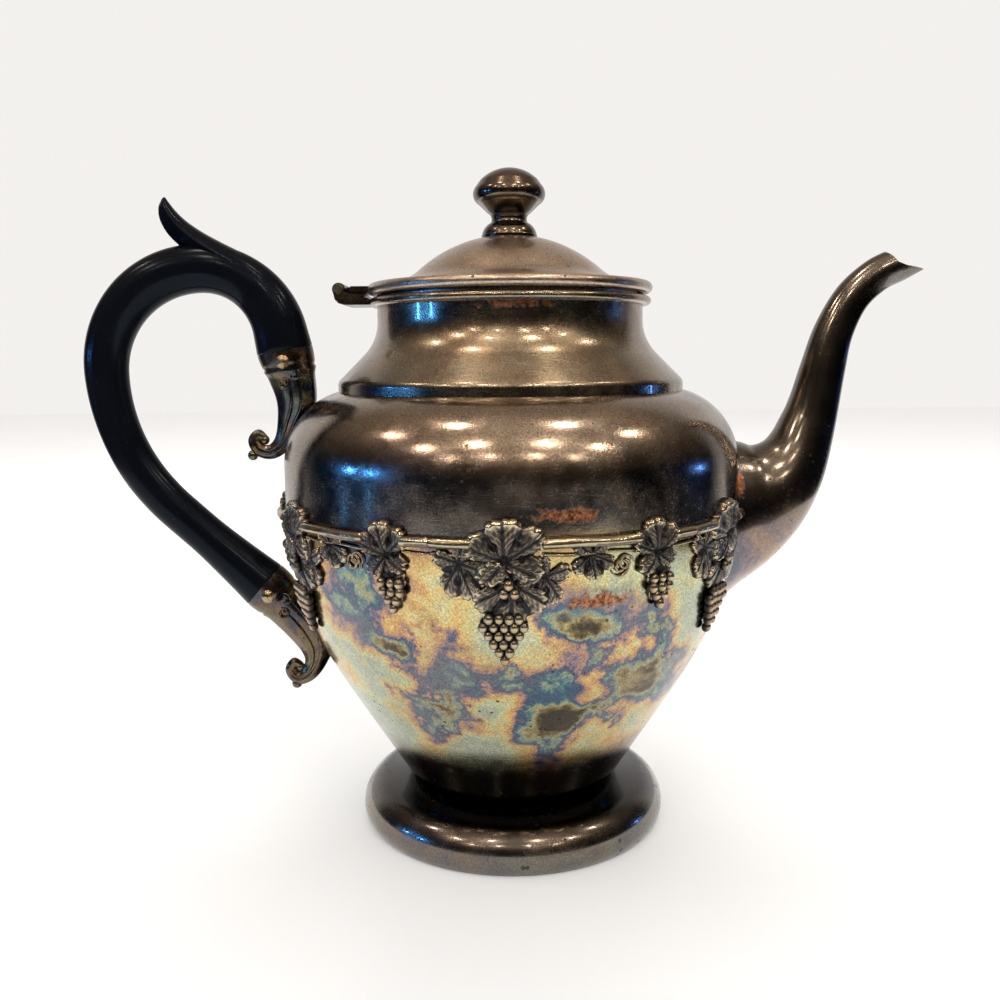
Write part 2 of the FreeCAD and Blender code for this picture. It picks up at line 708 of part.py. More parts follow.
def bowl_envelope(extra):
    """The bowl as a full solid, grown outwards, for fitting pieces to its side."""
    angle = math.radians(cell("bowl_cone_angle").value)
    arc = belly_arc.value + extra
    centre_x = belly.value - belly_arc.value
    bend = shoulder_arc.value + extra
    low = Vector(centre_x + arc * math.cos(angle), 0, belly_z.value - arc * math.sin(angle))
    middle = Vector(centre_x + arc * math.cos(angle / 2), 0, belly_z.value - arc * math.sin(angle / 2))
    widest = Vector(belly.value + extra, 0, belly_z.value)
    upper = Vector(belly.value + extra, 0, shoulder_z.value)
    lift = math.radians(60)
    shoulder = Vector(shoulder_centre.value, 0, shoulder_z.value)
    turn_mid = shoulder + Vector(bend * math.cos(lift / 2), 0, bend * math.sin(lift / 2))
    turn_end = shoulder + Vector(bend * math.cos(lift), 0, bend * math.sin(lift))
    drop = low.z - floor_z.value
    foot_point = Vector(low.x - drop * math.tan(angle), 0, floor_z.value)
    bottom = Vector(0, 0, foot_point.z)
    top = Vector(0, 0, turn_end.z)
    edges = [
        Part.makeLine(bottom, foot_point),
        Part.makeLine(foot_point, low),
        Part.Arc(low, middle, widest).toShape(),
        Part.makeLine(widest, upper),
        Part.Arc(upper, turn_mid, turn_end).toShape(),
        Part.makeLine(turn_end, top),
        Part.makeLine(top, bottom),
    ]
    face = Part.Face(Part.Wire(edges))
    return face.revolve(Vector(0, 0, 0), Vector(0, 0, 1), 360)


# Spout stations: share of the reach, share of the rise, heading, share of the taper.
spout_stations = (
    (-0.145, -0.140, 0, 1.31),
    (0.030, -0.090, 0, 1.0),
    (0.158, -0.040, 10, 0.75),
    (0.273, 0.047, 23, 0.538),
    (0.349, 0.162, 40, 0.362),
    (0.398, 0.295, 60, 0.218),
    (0.432, 0.408, 73, 0.147),
    (0.476, 0.579, 78, 0.091),
    (0.524, 0.730, 68, 0.047),
    (0.612, 0.874, 52, 0.015),
    (0.733, 0.970, 35, 0.003),
    (0.855, 1.022, 25, 0.0),
    (0.990, 1.085, 28, 0.0),
)

# Lip of the spout, from above the short top edge down to the beak.
spout_lip = (
    (0.68, 1.19),
    (0.777, 1.071),
    (0.800, 1.052),
    (0.822, 1.026),
    (0.870, 1.010),
    (1.020, 0.992),
    (1.150, 0.980),
    (1.150, 1.190),
)


def spout_sections(name, inset):
    reach = cell("spout_reach")
    rise = cell("spout_rise")
    base_half = cell("spout_base_half")
    tip_half = cell("spout_tip_half")
    base_round = cell("spout_base_roundness")
    tip_round = cell("spout_tip_roundness")
    ovals = []
    for index, (out, up, heading, taper) in enumerate(spout_stations):
        half = tip_half + (base_half - tip_half) * taper
        blend = min(taper, 1)
        roundness = tip_round + (base_round - tip_round) * blend
        inner_half = half - inset
        inner_roundness = (half * roundness - inset) / inner_half
        x = belly + reach * out
        z = belly_z + rise * up
        ovals.append(section(f"{name}_{index}", x, z, heading, inner_half, inner_roundness))
    return ovals


def make_spout(envelope):
    outer = loft("spout_outer", spout_sections("spout_oval", as_size(0)))
    core = loft("spout_core", spout_sections("spout_core_oval", cell("spout_wall")))
    reach = cell("spout_reach").value
    rise = cell("spout_rise").value
    depth = cell("spout_base_half").value * 2
    corners = []
    for out, up in spout_lip:
        corners.append(Vector(belly.value + reach * out, -depth, belly_z.value + rise * up))
    lip = doc.addObject("Part::Feature", "spout_lip")
    lip.Shape = Part.Face(Part.makePolygon(corners + corners[:1])).extrude(Vector(0, depth * 2, 0))
    hollow = cut("spout_hollow", outer, core)
    mouth = cut("spout_mouth", hollow, lip)
    return cut("spout", mouth, envelope)


class Path:
    """Straight runs and tangent bends in the XZ plane, walked from one end."""

    def __init__(self, x, z, heading):
        self.x = x
        self.z = z
        self.heading = heading
        self.length = 0.0

    def straight(self, distance):
        self.x += distance * math.cos(math.radians(self.heading))
        self.z += distance * math.sin(math.radians(self.heading))
        self.length += distance

    def bend(self, radius, turn):
        before = math.radians(self.heading)
        after = math.radians(self.heading + turn)
        self.x += radius * (math.sin(after) - math.sin(before))
        self.z += radius * (math.cos(before) - math.cos(after))
        self.heading += turn
        self.length += radius * math.radians(turn)

    def here(self):
        return self.x, self.z, self.heading, self.length


upper_heading = 101.3
lower_heading = 319.0
upper_joint = (-belly, belly_z + cell("upper_joint_rise"))
lower_joint = (-(belly + cell("lower_joint_outset")), belly_z - cell("lower_joint_drop"))


def grip_path():
    """Stations from the upper socket over the top and down to the lower socket."""
    path = Path(upper_joint[0].value, upper_joint[1].value, upper_heading)
    stations = [path.here()]
    path.straight(cell("grip_straight").value)
    stations.append(path.here())
    for _ in range(3):
        path.bend(cell("grip_crook_arc").value, (180 - upper_heading) / 3)
        stations.append(path.here())
    for _ in range(3):
        path.bend(cell("grip_bow_arc").value, 30)
        stations.append(path.here())
    end_x = lower_joint[0].value - path.x
    end_z = path.z - lower_joint[1].value
    turn = math.radians(lower_heading - 270)
    shift = 1 - math.cos(turn)
    sweep = (end_z * math.sin(turn) - end_x * math.cos(turn)) / (math.sin(turn) ** 2 - shift * math.cos(turn))
    run = (end_x - sweep * shift) / math.sin(turn)
    for _ in range(3):
        path.bend(sweep, math.degrees(turn) / 3)
        stations.append(path.here())
    for _ in range(2):
        path.straight(run / 2)
        stations.append(path.here())
    return stations


# Places along the grip, as shares of its length from the upper socket.
upper_swell_end = 0.16
slim_start = 0.28
slim_end = 0.66
recentre_start = 0.75
lower_swell_start = 0.86


def make_grip():
    """Grip that slims on its outer side, keeps its finger side and swells at both sockets."""
    middle = cell("grip_half")
    slim = cell("grip_slim_half")
    upper = cell("grip_upper_half")
    lower = cell("grip_lower_half")
    roundness = cell("grip_roundness")
    stations = grip_path()
    whole = stations[-1][3]
    ovals = []
    for index, (x, z, heading, length) in enumerate(stations):
        share = length / whole
        near_top = max(0, 1 - share / upper_swell_end)
        near_end = max(0, (share - lower_swell_start) / (1 - lower_swell_start))
        passed = min(1, max(0, (share - slim_start) / (slim_end - slim_start)))
        slimmed = passed * passed * (3 - 2 * passed)
        base = middle + (slim - middle) * slimmed
        half = base + (upper - middle) * near_top + (lower - base) * near_end
        inward = (middle - base).value * min(1, (1 - share) / (1 - recentre_start))
        side = math.radians(heading + 90)
        x += inward * math.cos(side)
        z += inward * math.sin(side)
        ovals.append(section(f"grip_oval_{index}", x, z, heading, half, roundness))
    stick = loft("grip_stick", ovals)
    spur = make_spur(stations[4])
    pieces = [stick, spur]
    for name, station, turn in (("upper", stations[0], 180), ("lower", stations[-1], 0)):
        pieces.append(tenon(f"{name}_tenon", station, turn, as_size(0)))
    blank = fuse("grip_blank", pieces)
    holes = fuse("grip_rivet_holes", [rivet_hole(f"{name}_grip_hole", name) for name in ("upper", "lower")])
    return cut("handle_grip", blank, holes)


def make_spur(crest):
    """Thumb spur that leaves the top of the grip and curls up to a point."""
    length = cell("spur_length")
    half = cell("spur_half")
    x, z = crest[0], crest[1]
    steps = (
        (0.56, -0.10, 163, 1.05, 0.86),
        (0.05, 0.22, 155, 1.0, 0.84),
        (-0.26, 0.46, 140, 0.80, 0.80),
        (-0.385, 0.665, 112, 0.60, 0.80),
        (-0.425, 0.80, 100, 0.38, 0.84),
        (-0.435, 0.868, 95, 0.12, 0.90),
    )
    ovals = []
    for index, (out, up, heading, taper, roundness) in enumerate(steps):
        place_x = length * out + x
        place_z = length * up + z
        oval_round = as_size(roundness)
        ovals.append(section(f"spur_oval_{index}", place_x, place_z, heading, half * taper, oval_round, True))
    return loft("grip_spur", ovals)


def tenon(name, station, turn, extra):
    x, z, heading = station[:3]
    peg = doc.addObject("Part::Cylinder", name)
    radius = cell("tenon_radius") + extra
    length = cell("tenon_length") + extra + 2
    peg.Radius = radius.value
    peg.setExpression("Radius", radius.text)
    peg.Height = length.value
    peg.setExpression("Height", length.text)
    angle = math.radians(heading + turn)
    along = Vector(math.cos(angle), 0, math.sin(angle))
    peg.Placement = Placement(Vector(x, 0, z) - along * 2, Rotation(Vector(0, 0, 1), along))
    return peg


def rivet_place(name):
    joint, heading = (upper_joint, upper_heading + 180) if name == "upper" else (lower_joint, lower_heading)
    setback = cell("rivet_setback")
    angle = as_size(heading)
    return joint[0] + setback * cosine(angle), joint[1] + setback * sine(angle)


def rivet_hole(name, joint):
    x, z = rivet_place(joint)
    reach = cell("grip_upper_half") * 2
    return rod_along_y(name, x, z, (-reach, reach), cell("rivet_radius") + cell("rivet_clearance"))


# Socket stations: outset from the belly, height from the belly, heading, half thickness.
upper_socket_stations = (
    (0.0, 44.5, 281.3, 8.5),
    (-1.7, 37.2, 276, 7.6),
    (-2.9, 29.2, 266, 6.4),
    (-0.8, 22.4, 256, 4.2),
    (1.6, 16.8, 234, 3.1),
    (5.2, 14.0, 192, 2.5),
    (8.9, 14.6, 145, 2.2),
    (10.4, 17.4, 88, 1.9),
    (8.6, 19.2, 15, 1.3),
)

lower_socket_stations = (
    (9.0, -27.7, -41, 8.1),
    (2.9, -33.4, -46, 7.5),
    (-3.1, -40.0, -58, 7.2),
    (-6.8, -46.7, -76, 6.2),
    (-6.2, -52.5, -102, 3.8),
    (-3.5, -56.6, -138, 2.8),
    (-0.2, -57.8, -190, 2.3),
    (1.8, -55.2, -258, 1.9),
    (0.6, -52.9, -330, 1.4),
)


def make_socket(name, stations, joint, envelope):
    """Cast socket that runs from the grip on to the bowl and ends in a curl."""
    roundness = cell("socket_roundness")
    ovals = []
    for index, (out, up, heading, half) in enumerate(stations):
        thick = as_size(half)
        ovals.append(section(f"{name}_oval_{index}", -(belly + out), belly_z + up, heading, thick, roundness))
    blank = loft(f"{name}_blank", ovals)
    out, up, heading, half = stations[0]
    station = (-(belly.value + out), belly_z.value + up, heading)
    pocket = tenon(f"{name}_pocket", station, 0, cell("tenon_clearance"))
    hole = rivet_hole(f"{name}_rivet_hole", joint)
    seats = fuse(f"{name}_seats", [pocket, hole])
    bored = cut(f"{name}_bored", blank, seats)
    return cut(name, bored, envelope)


def make_rivet(name, joint, socket_half):
    x, z = rivet_place(joint)
    radius = cell("rivet_radius")
    head = cell("rivet_head_radius")
    rise = cell("rivet_head_rise")
    length = (cell("socket_roundness") * socket_half + cell("rivet_seat")) * 2
    arc = (head * head + rise * rise) / (rise * 2)
    shape = Outline(name, 0, 0)
    shape.left(head, rise, arc)
    shape.line(radius, rise)
    shape.line(radius, rise + length)
    shape.line(head, rise + length)
    shape.left(0, rise * 2 + length, arc)
    body = shape.turn()
    bind_place(body, x, -(rise + length / 2), z, Rotation(Vector(1, 0, 0), -90))
    return body


def leaf_face(across, height, width, tall, lean, lobes=5, depth=0.2):
    """Flat lobed leaf in the YZ plane with a smooth closed edge."""
    points = []
    count = lobes * 6
    for step in range(count):
        turn = 2 * math.pi * step / count
        edge = 1 - depth + depth * math.cos(lobes * turn)
        points.append(Vector(0, width / 2 * edge * math.sin(turn), tall / 2 * edge * math.cos(turn)))
    curve = Part.BSplineCurve()
    curve.interpolate(points, PeriodicFlag=True)
    face = Part.Face(Part.Wire(curve.toShape()))
    face.rotate(Vector(0, 0, 0), Vector(1, 0, 0), lean)
    face.translate(Vector(belly.value * 0.6, across, height))
    return face


def leaf_relief(faces, low, high):
    """Leaves that stand on the belly between two distances from its surface."""
    flat = faces[0]
    if len(faces) > 1:
        flat = flat.multiFuse(faces[1:]).removeSplitter()
    block = flat.extrude(Vector(belly.value * 0.6, 0, 0))
    shell = bowl_envelope(solder.value + high).cut(bowl_envelope(solder.value + low))
    return block.common(shell)


def belly_radius_at(height):
    below = belly_z.value - height
    if below <= 0:
        return belly.value
    return belly.value - belly_arc.value + math.sqrt(belly_arc.value ** 2 - below ** 2)


def bunch(across, top, rows):
    """Grapes in rows that narrow to a point; each row hangs below the one above."""
    pitch = cell("grape_pitch").value
    size = cell("grape_radius").value
    grapes = []
    for row, count in enumerate(rows):
        height = top - row * pitch * 0.87
        radius = belly_radius_at(height) + solder.value + size * 1.15
        for place in range(count):
            angle = (across + (place - (count - 1) / 2) * pitch) / radius
            centre = Vector(radius * math.cos(angle), radius * math.sin(angle), height)
            grapes.append(Part.makeSphere(size, centre))
    return grapes


def vine_stem(start, stop):
    stem_z = belly_z.value - cell("vine_drop").value
    radius = cell("vine_stem_radius").value
    centre = Vector(belly_radius_at(stem_z) + solder.value + radius, 0, stem_z)
    ring = Part.Face(Part.Wire(Part.Circle(centre, Vector(0, 1, 0), radius).toShape()))
    stem = ring.revolve(Vector(0, 0, 0), Vector(0, 0, 1), stop - start)
    stem.rotate(Vector(0, 0, 0), Vector(0, 0, 1), start)
    return stem


def vine_motifs():
    """The large cluster, the leaf with a small bunch and the single leaf, each at angle zero."""
    stem_z = belly_z.value - cell("vine_drop").value
    main = cell("vine_leaf_relief").value
    side = cell("vine_side_relief").value
    root_depth = side * 0.5
    top_leaf = leaf_face(0.0, stem_z - 1.5, 22.5, 17.0, 0)
    side_leaves = [
        leaf_face(-11.0, stem_z - 5.5, 13.5, 14.5, 25),
        leaf_face(10.5, stem_z - 8.5, 12.0, 13.0, -25),
        leaf_face(0.8, stem_z - 14.5, 18.5, 13.0, 180),
        leaf_face(-1.0, stem_z - 23.5, 11.5, 16.0, 180, 3, 0.08),
    ]
    cluster = [leaf_relief([top_leaf] + side_leaves, 0, side), leaf_relief([top_leaf], root_depth, main)]
    cluster += bunch(-1.0, stem_z - 18.8, (4, 5, 4, 3, 2, 1))
    leaf_top = leaf_face(0.0, stem_z - 2.2, 16.0, 15.5, 8)
    leaf_back = leaf_face(1.8, stem_z - 11.2, 9.0, 13.5, 180, 3, 0.08)
    medium = [leaf_relief([leaf_top, leaf_back], 0, side), leaf_relief([leaf_top], root_depth, main)]
    medium += bunch(2.0, stem_z - 10.9, (3, 3, 2, 1))
    small = [leaf_relief([leaf_face(0.0, stem_z - 2.8, 11.0, 13.5, -10)], 0, main)]
    return cluster, medium, small


def turned(shapes, angle):
    copies = []
    for shape in shapes:
        copy = shape.copy()
        copy.rotate(Vector(0, 0, 0), Vector(0, 0, 1), angle)
        copies.append(copy)
    return copies


def spout_room():
    """The spout's outside grown by the gap that the vine keeps from it."""
    ovals = spout_sections("vine_clearance_oval", -cell("vine_spout_gap"))
    return Part.makeLoft([oval.Shape for oval in ovals], True, False)


def make_vine():
    """Six castings of one repeat each; the two beside the spout stop short of it."""
    cluster, medium, small = vine_motifs()
    trail = turned(small, 18) + turned(medium, 33)
    patterns = {
        "full": cluster + trail + [vine_stem(-15.9, 43.9)],
        "before_spout": cluster + [vine_stem(-15.9, 10)],
        "after_spout": cluster + trail + [vine_stem(-10, 43.9)],
    }
    shapes = {}
    for kind, pieces in patterns.items():
        shapes[kind] = pieces[0].multiFuse(pieces[1:])
    room = spout_room()
    for kind, angle in (("before_spout", -31.5), ("after_spout", 28.5)):
        tool = room.copy()
        tool.rotate(Vector(0, 0, 0), Vector(0, 0, 1), -angle)
        shapes[kind] = shapes[kind].cut(tool)
    order = ("full", "before_spout", "after_spout", "full", "full", "full")
    castings = []
    for index, kind in enumerate(order):
        casting = doc.addObject("Part::Feature", f"vine_section_{index + 1}")
        casting.Shape = shapes[kind]
        casting.Placement = Placement(Vector(0, 0, 0), Rotation(Vector(0, 0, 1), 60 * index - 91.5))
        castings.append(casting)
    return castings


def build():
    foot = make_foot()
    bowl = make_bowl()
    neck = make_neck()
    mouth_rim = make_mouth_rim()
    lid = make_lid()
    envelope = doc.addObject("Part::Feature", "bowl_envelope")
    envelope.Shape = bowl_envelope(solder.value)
    nodes = [foot, bowl, neck, mouth_rim, lid]
    nodes += [make_lid_bezel(), make_finial(), make_finial_washer(), make_finial_nut()]
    nodes += [make_hinge_pot_leaf(mouth_rim), make_hinge_lid_leaf(lid), make_hinge_pin()]
    nodes.append(make_spout(envelope))
    nodes.append(make_grip())
    nodes.append(make_socket("upper_handle_socket", upper_socket_stations, "upper", envelope))
    nodes.append(make_socket("lower_handle_socket", lower_socket_stations, "lower", envelope))
    nodes.append(make_rivet("upper_handle_pin", "upper", upper_socket_stations[0][3]))
    nodes.append(make_rivet("lower_handle_pin", "lower", lower_socket_stations[0][3]))
    nodes += make_vine()
    return nodes


def check(nodes):
    doc.recompute()
    for item in doc.Objects:
        if "Invalid" in item.State or "Error" in item.State:
            raise RuntimeError(f"{item.Label} did not build: {item.State}")
    for node in nodes:
        shape = node.Shape
        if shape.isNull() or not shape.isValid() or not shape.Solids:
            raise RuntimeError(f"{node.Label} is not a sound solid")


def write(nodes):
    os.makedirs("parts", exist_ok=True)
    for node in nodes:
        node.Shape.exportStep(f"parts/{node.Label}.step")


nodes = build()
check(nodes)
write(nodes)
for node in nodes:
    print(node.Label, len(node.Shape.Solids), round(node.Shape.Volume, 1))
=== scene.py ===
import math
import random

import bmesh
import bpy
from mathutils import Matrix, Vector


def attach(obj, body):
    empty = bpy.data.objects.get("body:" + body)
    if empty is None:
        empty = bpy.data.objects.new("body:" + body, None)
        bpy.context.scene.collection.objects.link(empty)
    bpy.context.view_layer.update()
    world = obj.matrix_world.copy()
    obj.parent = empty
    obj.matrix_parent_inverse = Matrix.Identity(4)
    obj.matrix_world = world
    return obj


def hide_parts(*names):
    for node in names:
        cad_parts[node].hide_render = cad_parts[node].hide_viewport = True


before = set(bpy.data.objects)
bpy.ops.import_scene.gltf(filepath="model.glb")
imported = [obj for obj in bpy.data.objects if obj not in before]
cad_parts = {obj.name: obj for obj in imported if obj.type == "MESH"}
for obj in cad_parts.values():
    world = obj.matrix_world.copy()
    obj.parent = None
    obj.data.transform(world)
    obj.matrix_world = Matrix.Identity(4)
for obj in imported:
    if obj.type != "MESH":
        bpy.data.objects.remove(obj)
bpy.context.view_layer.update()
scene = bpy.context.scene
mm = 0.001
print("teapot: solids loaded,", len(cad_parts), "nodes")


# Small tools.
def finishMesh(name, points, faces, material, sharpAngle=40, lift=None):
    mesh = bpy.data.meshes.new(name)
    mesh.from_pydata([(x * mm, y * mm, z * mm) for x, y, z in points], [], faces)
    if lift is not None:
        layer = mesh.attributes.new("lift", "FLOAT", "POINT")
        layer.data.foreach_set("value", lift)
    sheet = bmesh.new()
    sheet.from_mesh(mesh)
    bmesh.ops.remove_doubles(sheet, verts=sheet.verts, dist=1e-8)
    bmesh.ops.recalc_face_normals(sheet, faces=sheet.faces)
    sheet.to_mesh(mesh)
    sheet.free()
    mesh.shade_smooth()
    mesh.set_sharp_from_angle(angle=math.radians(sharpAngle))
    mesh.materials.append(material)
    piece = bpy.data.objects.new(name, mesh)
    scene.collection.objects.link(piece)
    return piece


def seat(piece, body, slotName, *nodes):
    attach(piece, body)
    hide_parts(*nodes)
    return piece


def bendTo(line, radius, height, bend, side):  # arc from the line's last point, turning left or right
    startR, startZ = line[-1]
    chordR, chordZ = radius - startR, height - startZ
    chord = math.hypot(chordR, chordZ)
    drop = math.sqrt(max(bend * bend - chord * chord / 4, 0)) * (1 if side == "left" else -1)
    centreR = (startR + radius) / 2 - chordZ / chord * drop
    centreZ = (startZ + height) / 2 + chordR / chord * drop
    first = math.atan2(startZ - centreZ, startR - centreR)
    turn = 2 * math.asin(min(chord / 2 / bend, 1)) * (1 if side == "left" else -1)
    count = max(3, int(abs(math.degrees(turn)) / 2.5))
    for step in range(1, count + 1):
        angle = first + turn * step / count
        line.append((centreR + bend * math.cos(angle), centreZ + bend * math.sin(angle)))
    line[-1] = (radius, height)


def runTo(line, radius, height, count):  # straight run from the line's last point, in equal steps
    for left in range(count, 0, -1):
        startR, startZ = line[-1]
        line.append((startR + (radius - startR) / left, startZ + (height - startZ) / left))


def circle(steps):  # equal turns, in radians
    return [2 * math.pi * step / steps for step in range(steps)]


def spin(line, steps=256):  # closed outline round the pot's axis
    points, faces, rows = [], [], []
    for radius, height in line:
        if radius < 1e-6:
            rows.append([len(points)] * steps)
            points.append((0, 0, height))
            continue
        rows.append(list(range(len(points), len(points) + steps)))
        points.extend((radius * math.cos(angle), radius * math.sin(angle), height) for angle in circle(steps))
    for low, high in zip(rows, rows[1:] + rows[:1]):
        if low[0] == low[1] and high[0] == high[1]:
            continue
        for step in range(steps):
            after = (step + 1) % steps
            corners = [low[step], low[after], high[after], high[step]]
            faces.append(tuple(dict.fromkeys(corners)))
    return points, faces


def skin(rings, capStart=True, capEnd=True):  # rings of equal count into one closed tube
    points, faces = [], []
    count = len(rings[0])
    for ring in rings:
        points.extend(ring)
    for row in range(len(rings) - 1):
        for step in range(count):
            after = (step + 1) % count
            low, high = row * count, (row + 1) * count
            faces.append((low + step, low + after, high + after, high + step))
    for wanted, base in ((capStart, 0), (capEnd, (len(rings) - 1) * count)):
        if wanted:
            ring = points[base:base + count]
            points.append(tuple(sum(p[axis] for p in ring) / count for axis in range(3)))
            for step in range(count):
                faces.append((base + step, base + (step + 1) % count, len(points) - 1))
    return points, faces


def gather(*shapes):  # several closed shells in one mesh
    points, faces = [], []
    for part in shapes:
        base = len(points)
        points.extend(part[0])
        faces.extend(tuple(base + index for index in face) for face in part[1])
    return points, faces


def through(values, spot):  # smooth curve through rows of numbers, spot counted in rows
    last = len(values) - 1
    spot = min(max(spot, 0), last)
    index = min(int(spot), last - 1)
    t = spot - index
    row = []
    for column in range(len(values[0])):
        a = values[max(index - 1, 0)][column]
        b = values[index][column]
        c = values[index + 1][column]
        d = values[min(index + 2, last)][column]
        if index == 0:
            a = 2 * b - c
        if index == last - 1:
            d = 2 * c - b
        slopeB, slopeC = (c - a) / 2, (d - b) / 2
        row.append((2 * t ** 3 - 3 * t ** 2 + 1) * b + (t ** 3 - 2 * t ** 2 + t) * slopeB
                   + (3 * t ** 2 - 2 * t ** 3) * c + (t ** 3 - t ** 2) * slopeC)
    return row


def oval(x, z, heading, half, roundness, steps, ripple=None):  # ring across a path in the XZ plane
    turn = math.radians(heading)
    ring = []
    for angle in circle(steps):
        grow = 1 if ripple is None else ripple(angle)
        out = half * grow * math.cos(angle)
        ring.append((x - math.sin(turn) * out, half * roundness * grow * math.sin(angle),
                     z + math.cos(turn) * out))
    return ring


def ball(centre, radius, squash=(1, 1, 1), rows=10, steps=16):
    rings = []
    for row in range(1, rows):
        lean = math.pi * row / rows
        rings.append([(centre[0] + radius * squash[0] * math.sin(lean) * math.cos(turn),
                       centre[1] + radius * squash[1] * math.sin(lean) * math.sin(turn),
                       centre[2] + radius * squash[2] * math.cos(lean)) for turn in circle(steps)])
    return skin(rings)


def wire(path, radius, steps=8):  # round wire through 3D points, thinner at both ends
    rings = []
    for index, spot in enumerate(path):
        ahead = Vector(path[min(index + 1, len(path) - 1)])
        behind = Vector(path[max(index - 1, 0)])
        along = (ahead - behind).normalized()
        side = along.cross(Vector((0.31, 0.12, 0.94))).normalized()
        other = along.cross(side)
        share = index / (len(path) - 1)
        size = radius * min(1, 0.35 + 4 * min(share, 1 - share))
        rings.append([tuple(Vector(spot) + size * (side * math.cos(turn) + other * math.sin(turn)))
                      for turn in circle(steps)])
    return skin(rings)


def trim(piece, tool, operation):  # boolean, applied at once, tool thrown away
    change = piece.modifiers.new("trim", "BOOLEAN")
    change.operation = operation
    change.solver = "EXACT"
    change.object = tool
    bpy.context.view_layer.update()
    done = bpy.data.meshes.new_from_object(piece.evaluated_get(bpy.context.evaluated_depsgraph_get()))
    piece.modifiers.clear()
    name = piece.data.name
    piece.data = done
    piece.data.name = name
    bpy.data.objects.remove(tool)


# Shader tools.
def node(tree, kind, **values):
    made = tree.nodes.new(kind)
    for key, value in values.items():
        if hasattr(made, key):
            setattr(made, key, value)
        else:
            made.inputs[key.replace("_", " ")].default_value = value
    return made


def feed(tree, source, target):
    tree.links.new(source, target)


def ramp(tree, source, stops):
    made = tree.nodes.new("ShaderNodeValToRGB")
    band = made.color_ramp
    band.elements.remove(band.elements[-1])
    for index, (stop, colour) in enumerate(stops):
        element = band.elements[0] if index == 0 else band.elements.new(stop)
        element.position = stop
        element.color = (*colour, 1)
    feed(tree, source, made.inputs["Fac"])
    return made.outputs["Color"]


def blend(tree, share, first, second, mode="MIX"):  # colour mix
    made = tree.nodes.new("ShaderNodeMix")
    made.data_type = "RGBA"
    made.blend_type = mode
    for value, socket in ((share, made.inputs[0]), (first, made.inputs[6]), (second, made.inputs[7])):
        if hasattr(value, "is_linked"):
            feed(tree, value, socket)
        else:
            socket.default_value = value if isinstance(value, (int, float)) else (*value, 1)
    return made.outputs[2]


def reckon(tree, operation, first, second=0.0, clamp=False):
    made = tree.nodes.new("ShaderNodeMath")
    made.operation = operation
    made.use_clamp = clamp
    for value, socket in ((first, made.inputs[0]), (second, made.inputs[1])):
        if hasattr(value, "is_linked"):
            feed(tree, value, socket)
        else:
            socket.default_value = value
    return made.outputs[0]


def span(tree, source, low, high, start=0.0, stop=1.0):
    made = tree.nodes.new("ShaderNodeMapRange")
    feed(tree, source, made.inputs[0])
    for socket, value in zip(made.inputs[1:5], (low, high, start, stop)):
        socket.default_value = value
    return made.outputs[0]


def newGroup(name, inputs, outputs):
    tree = bpy.data.node_groups.new(name, "ShaderNodeTree")
    for label, kind, value in inputs:
        socket = tree.interface.new_socket(label, in_out="INPUT", socket_type=kind)
        socket.default_value = value
    for label, kind in outputs:
        tree.interface.new_socket(label, in_out="OUTPUT", socket_type=kind)
    return tree, tree.nodes.new("NodeGroupInput"), tree.nodes.new("NodeGroupOutput")


def place(tree, group, **values):
    made = tree.nodes.new("ShaderNodeGroup")
    made.node_tree = group
    for key, value in values.items():
        socket = made.inputs[key]
        if hasattr(value, "is_linked"):
            feed(tree, value, socket)
        else:
            socket.default_value = value
    return made


def newMaterial(name):
    material = bpy.data.materials.new(name)
    material.use_nodes = True
    tree = material.node_tree
    shader = tree.nodes["Principled BSDF"]
    where = tree.nodes.new("ShaderNodeTexCoord").outputs["Object"]
    return material, tree, shader, where


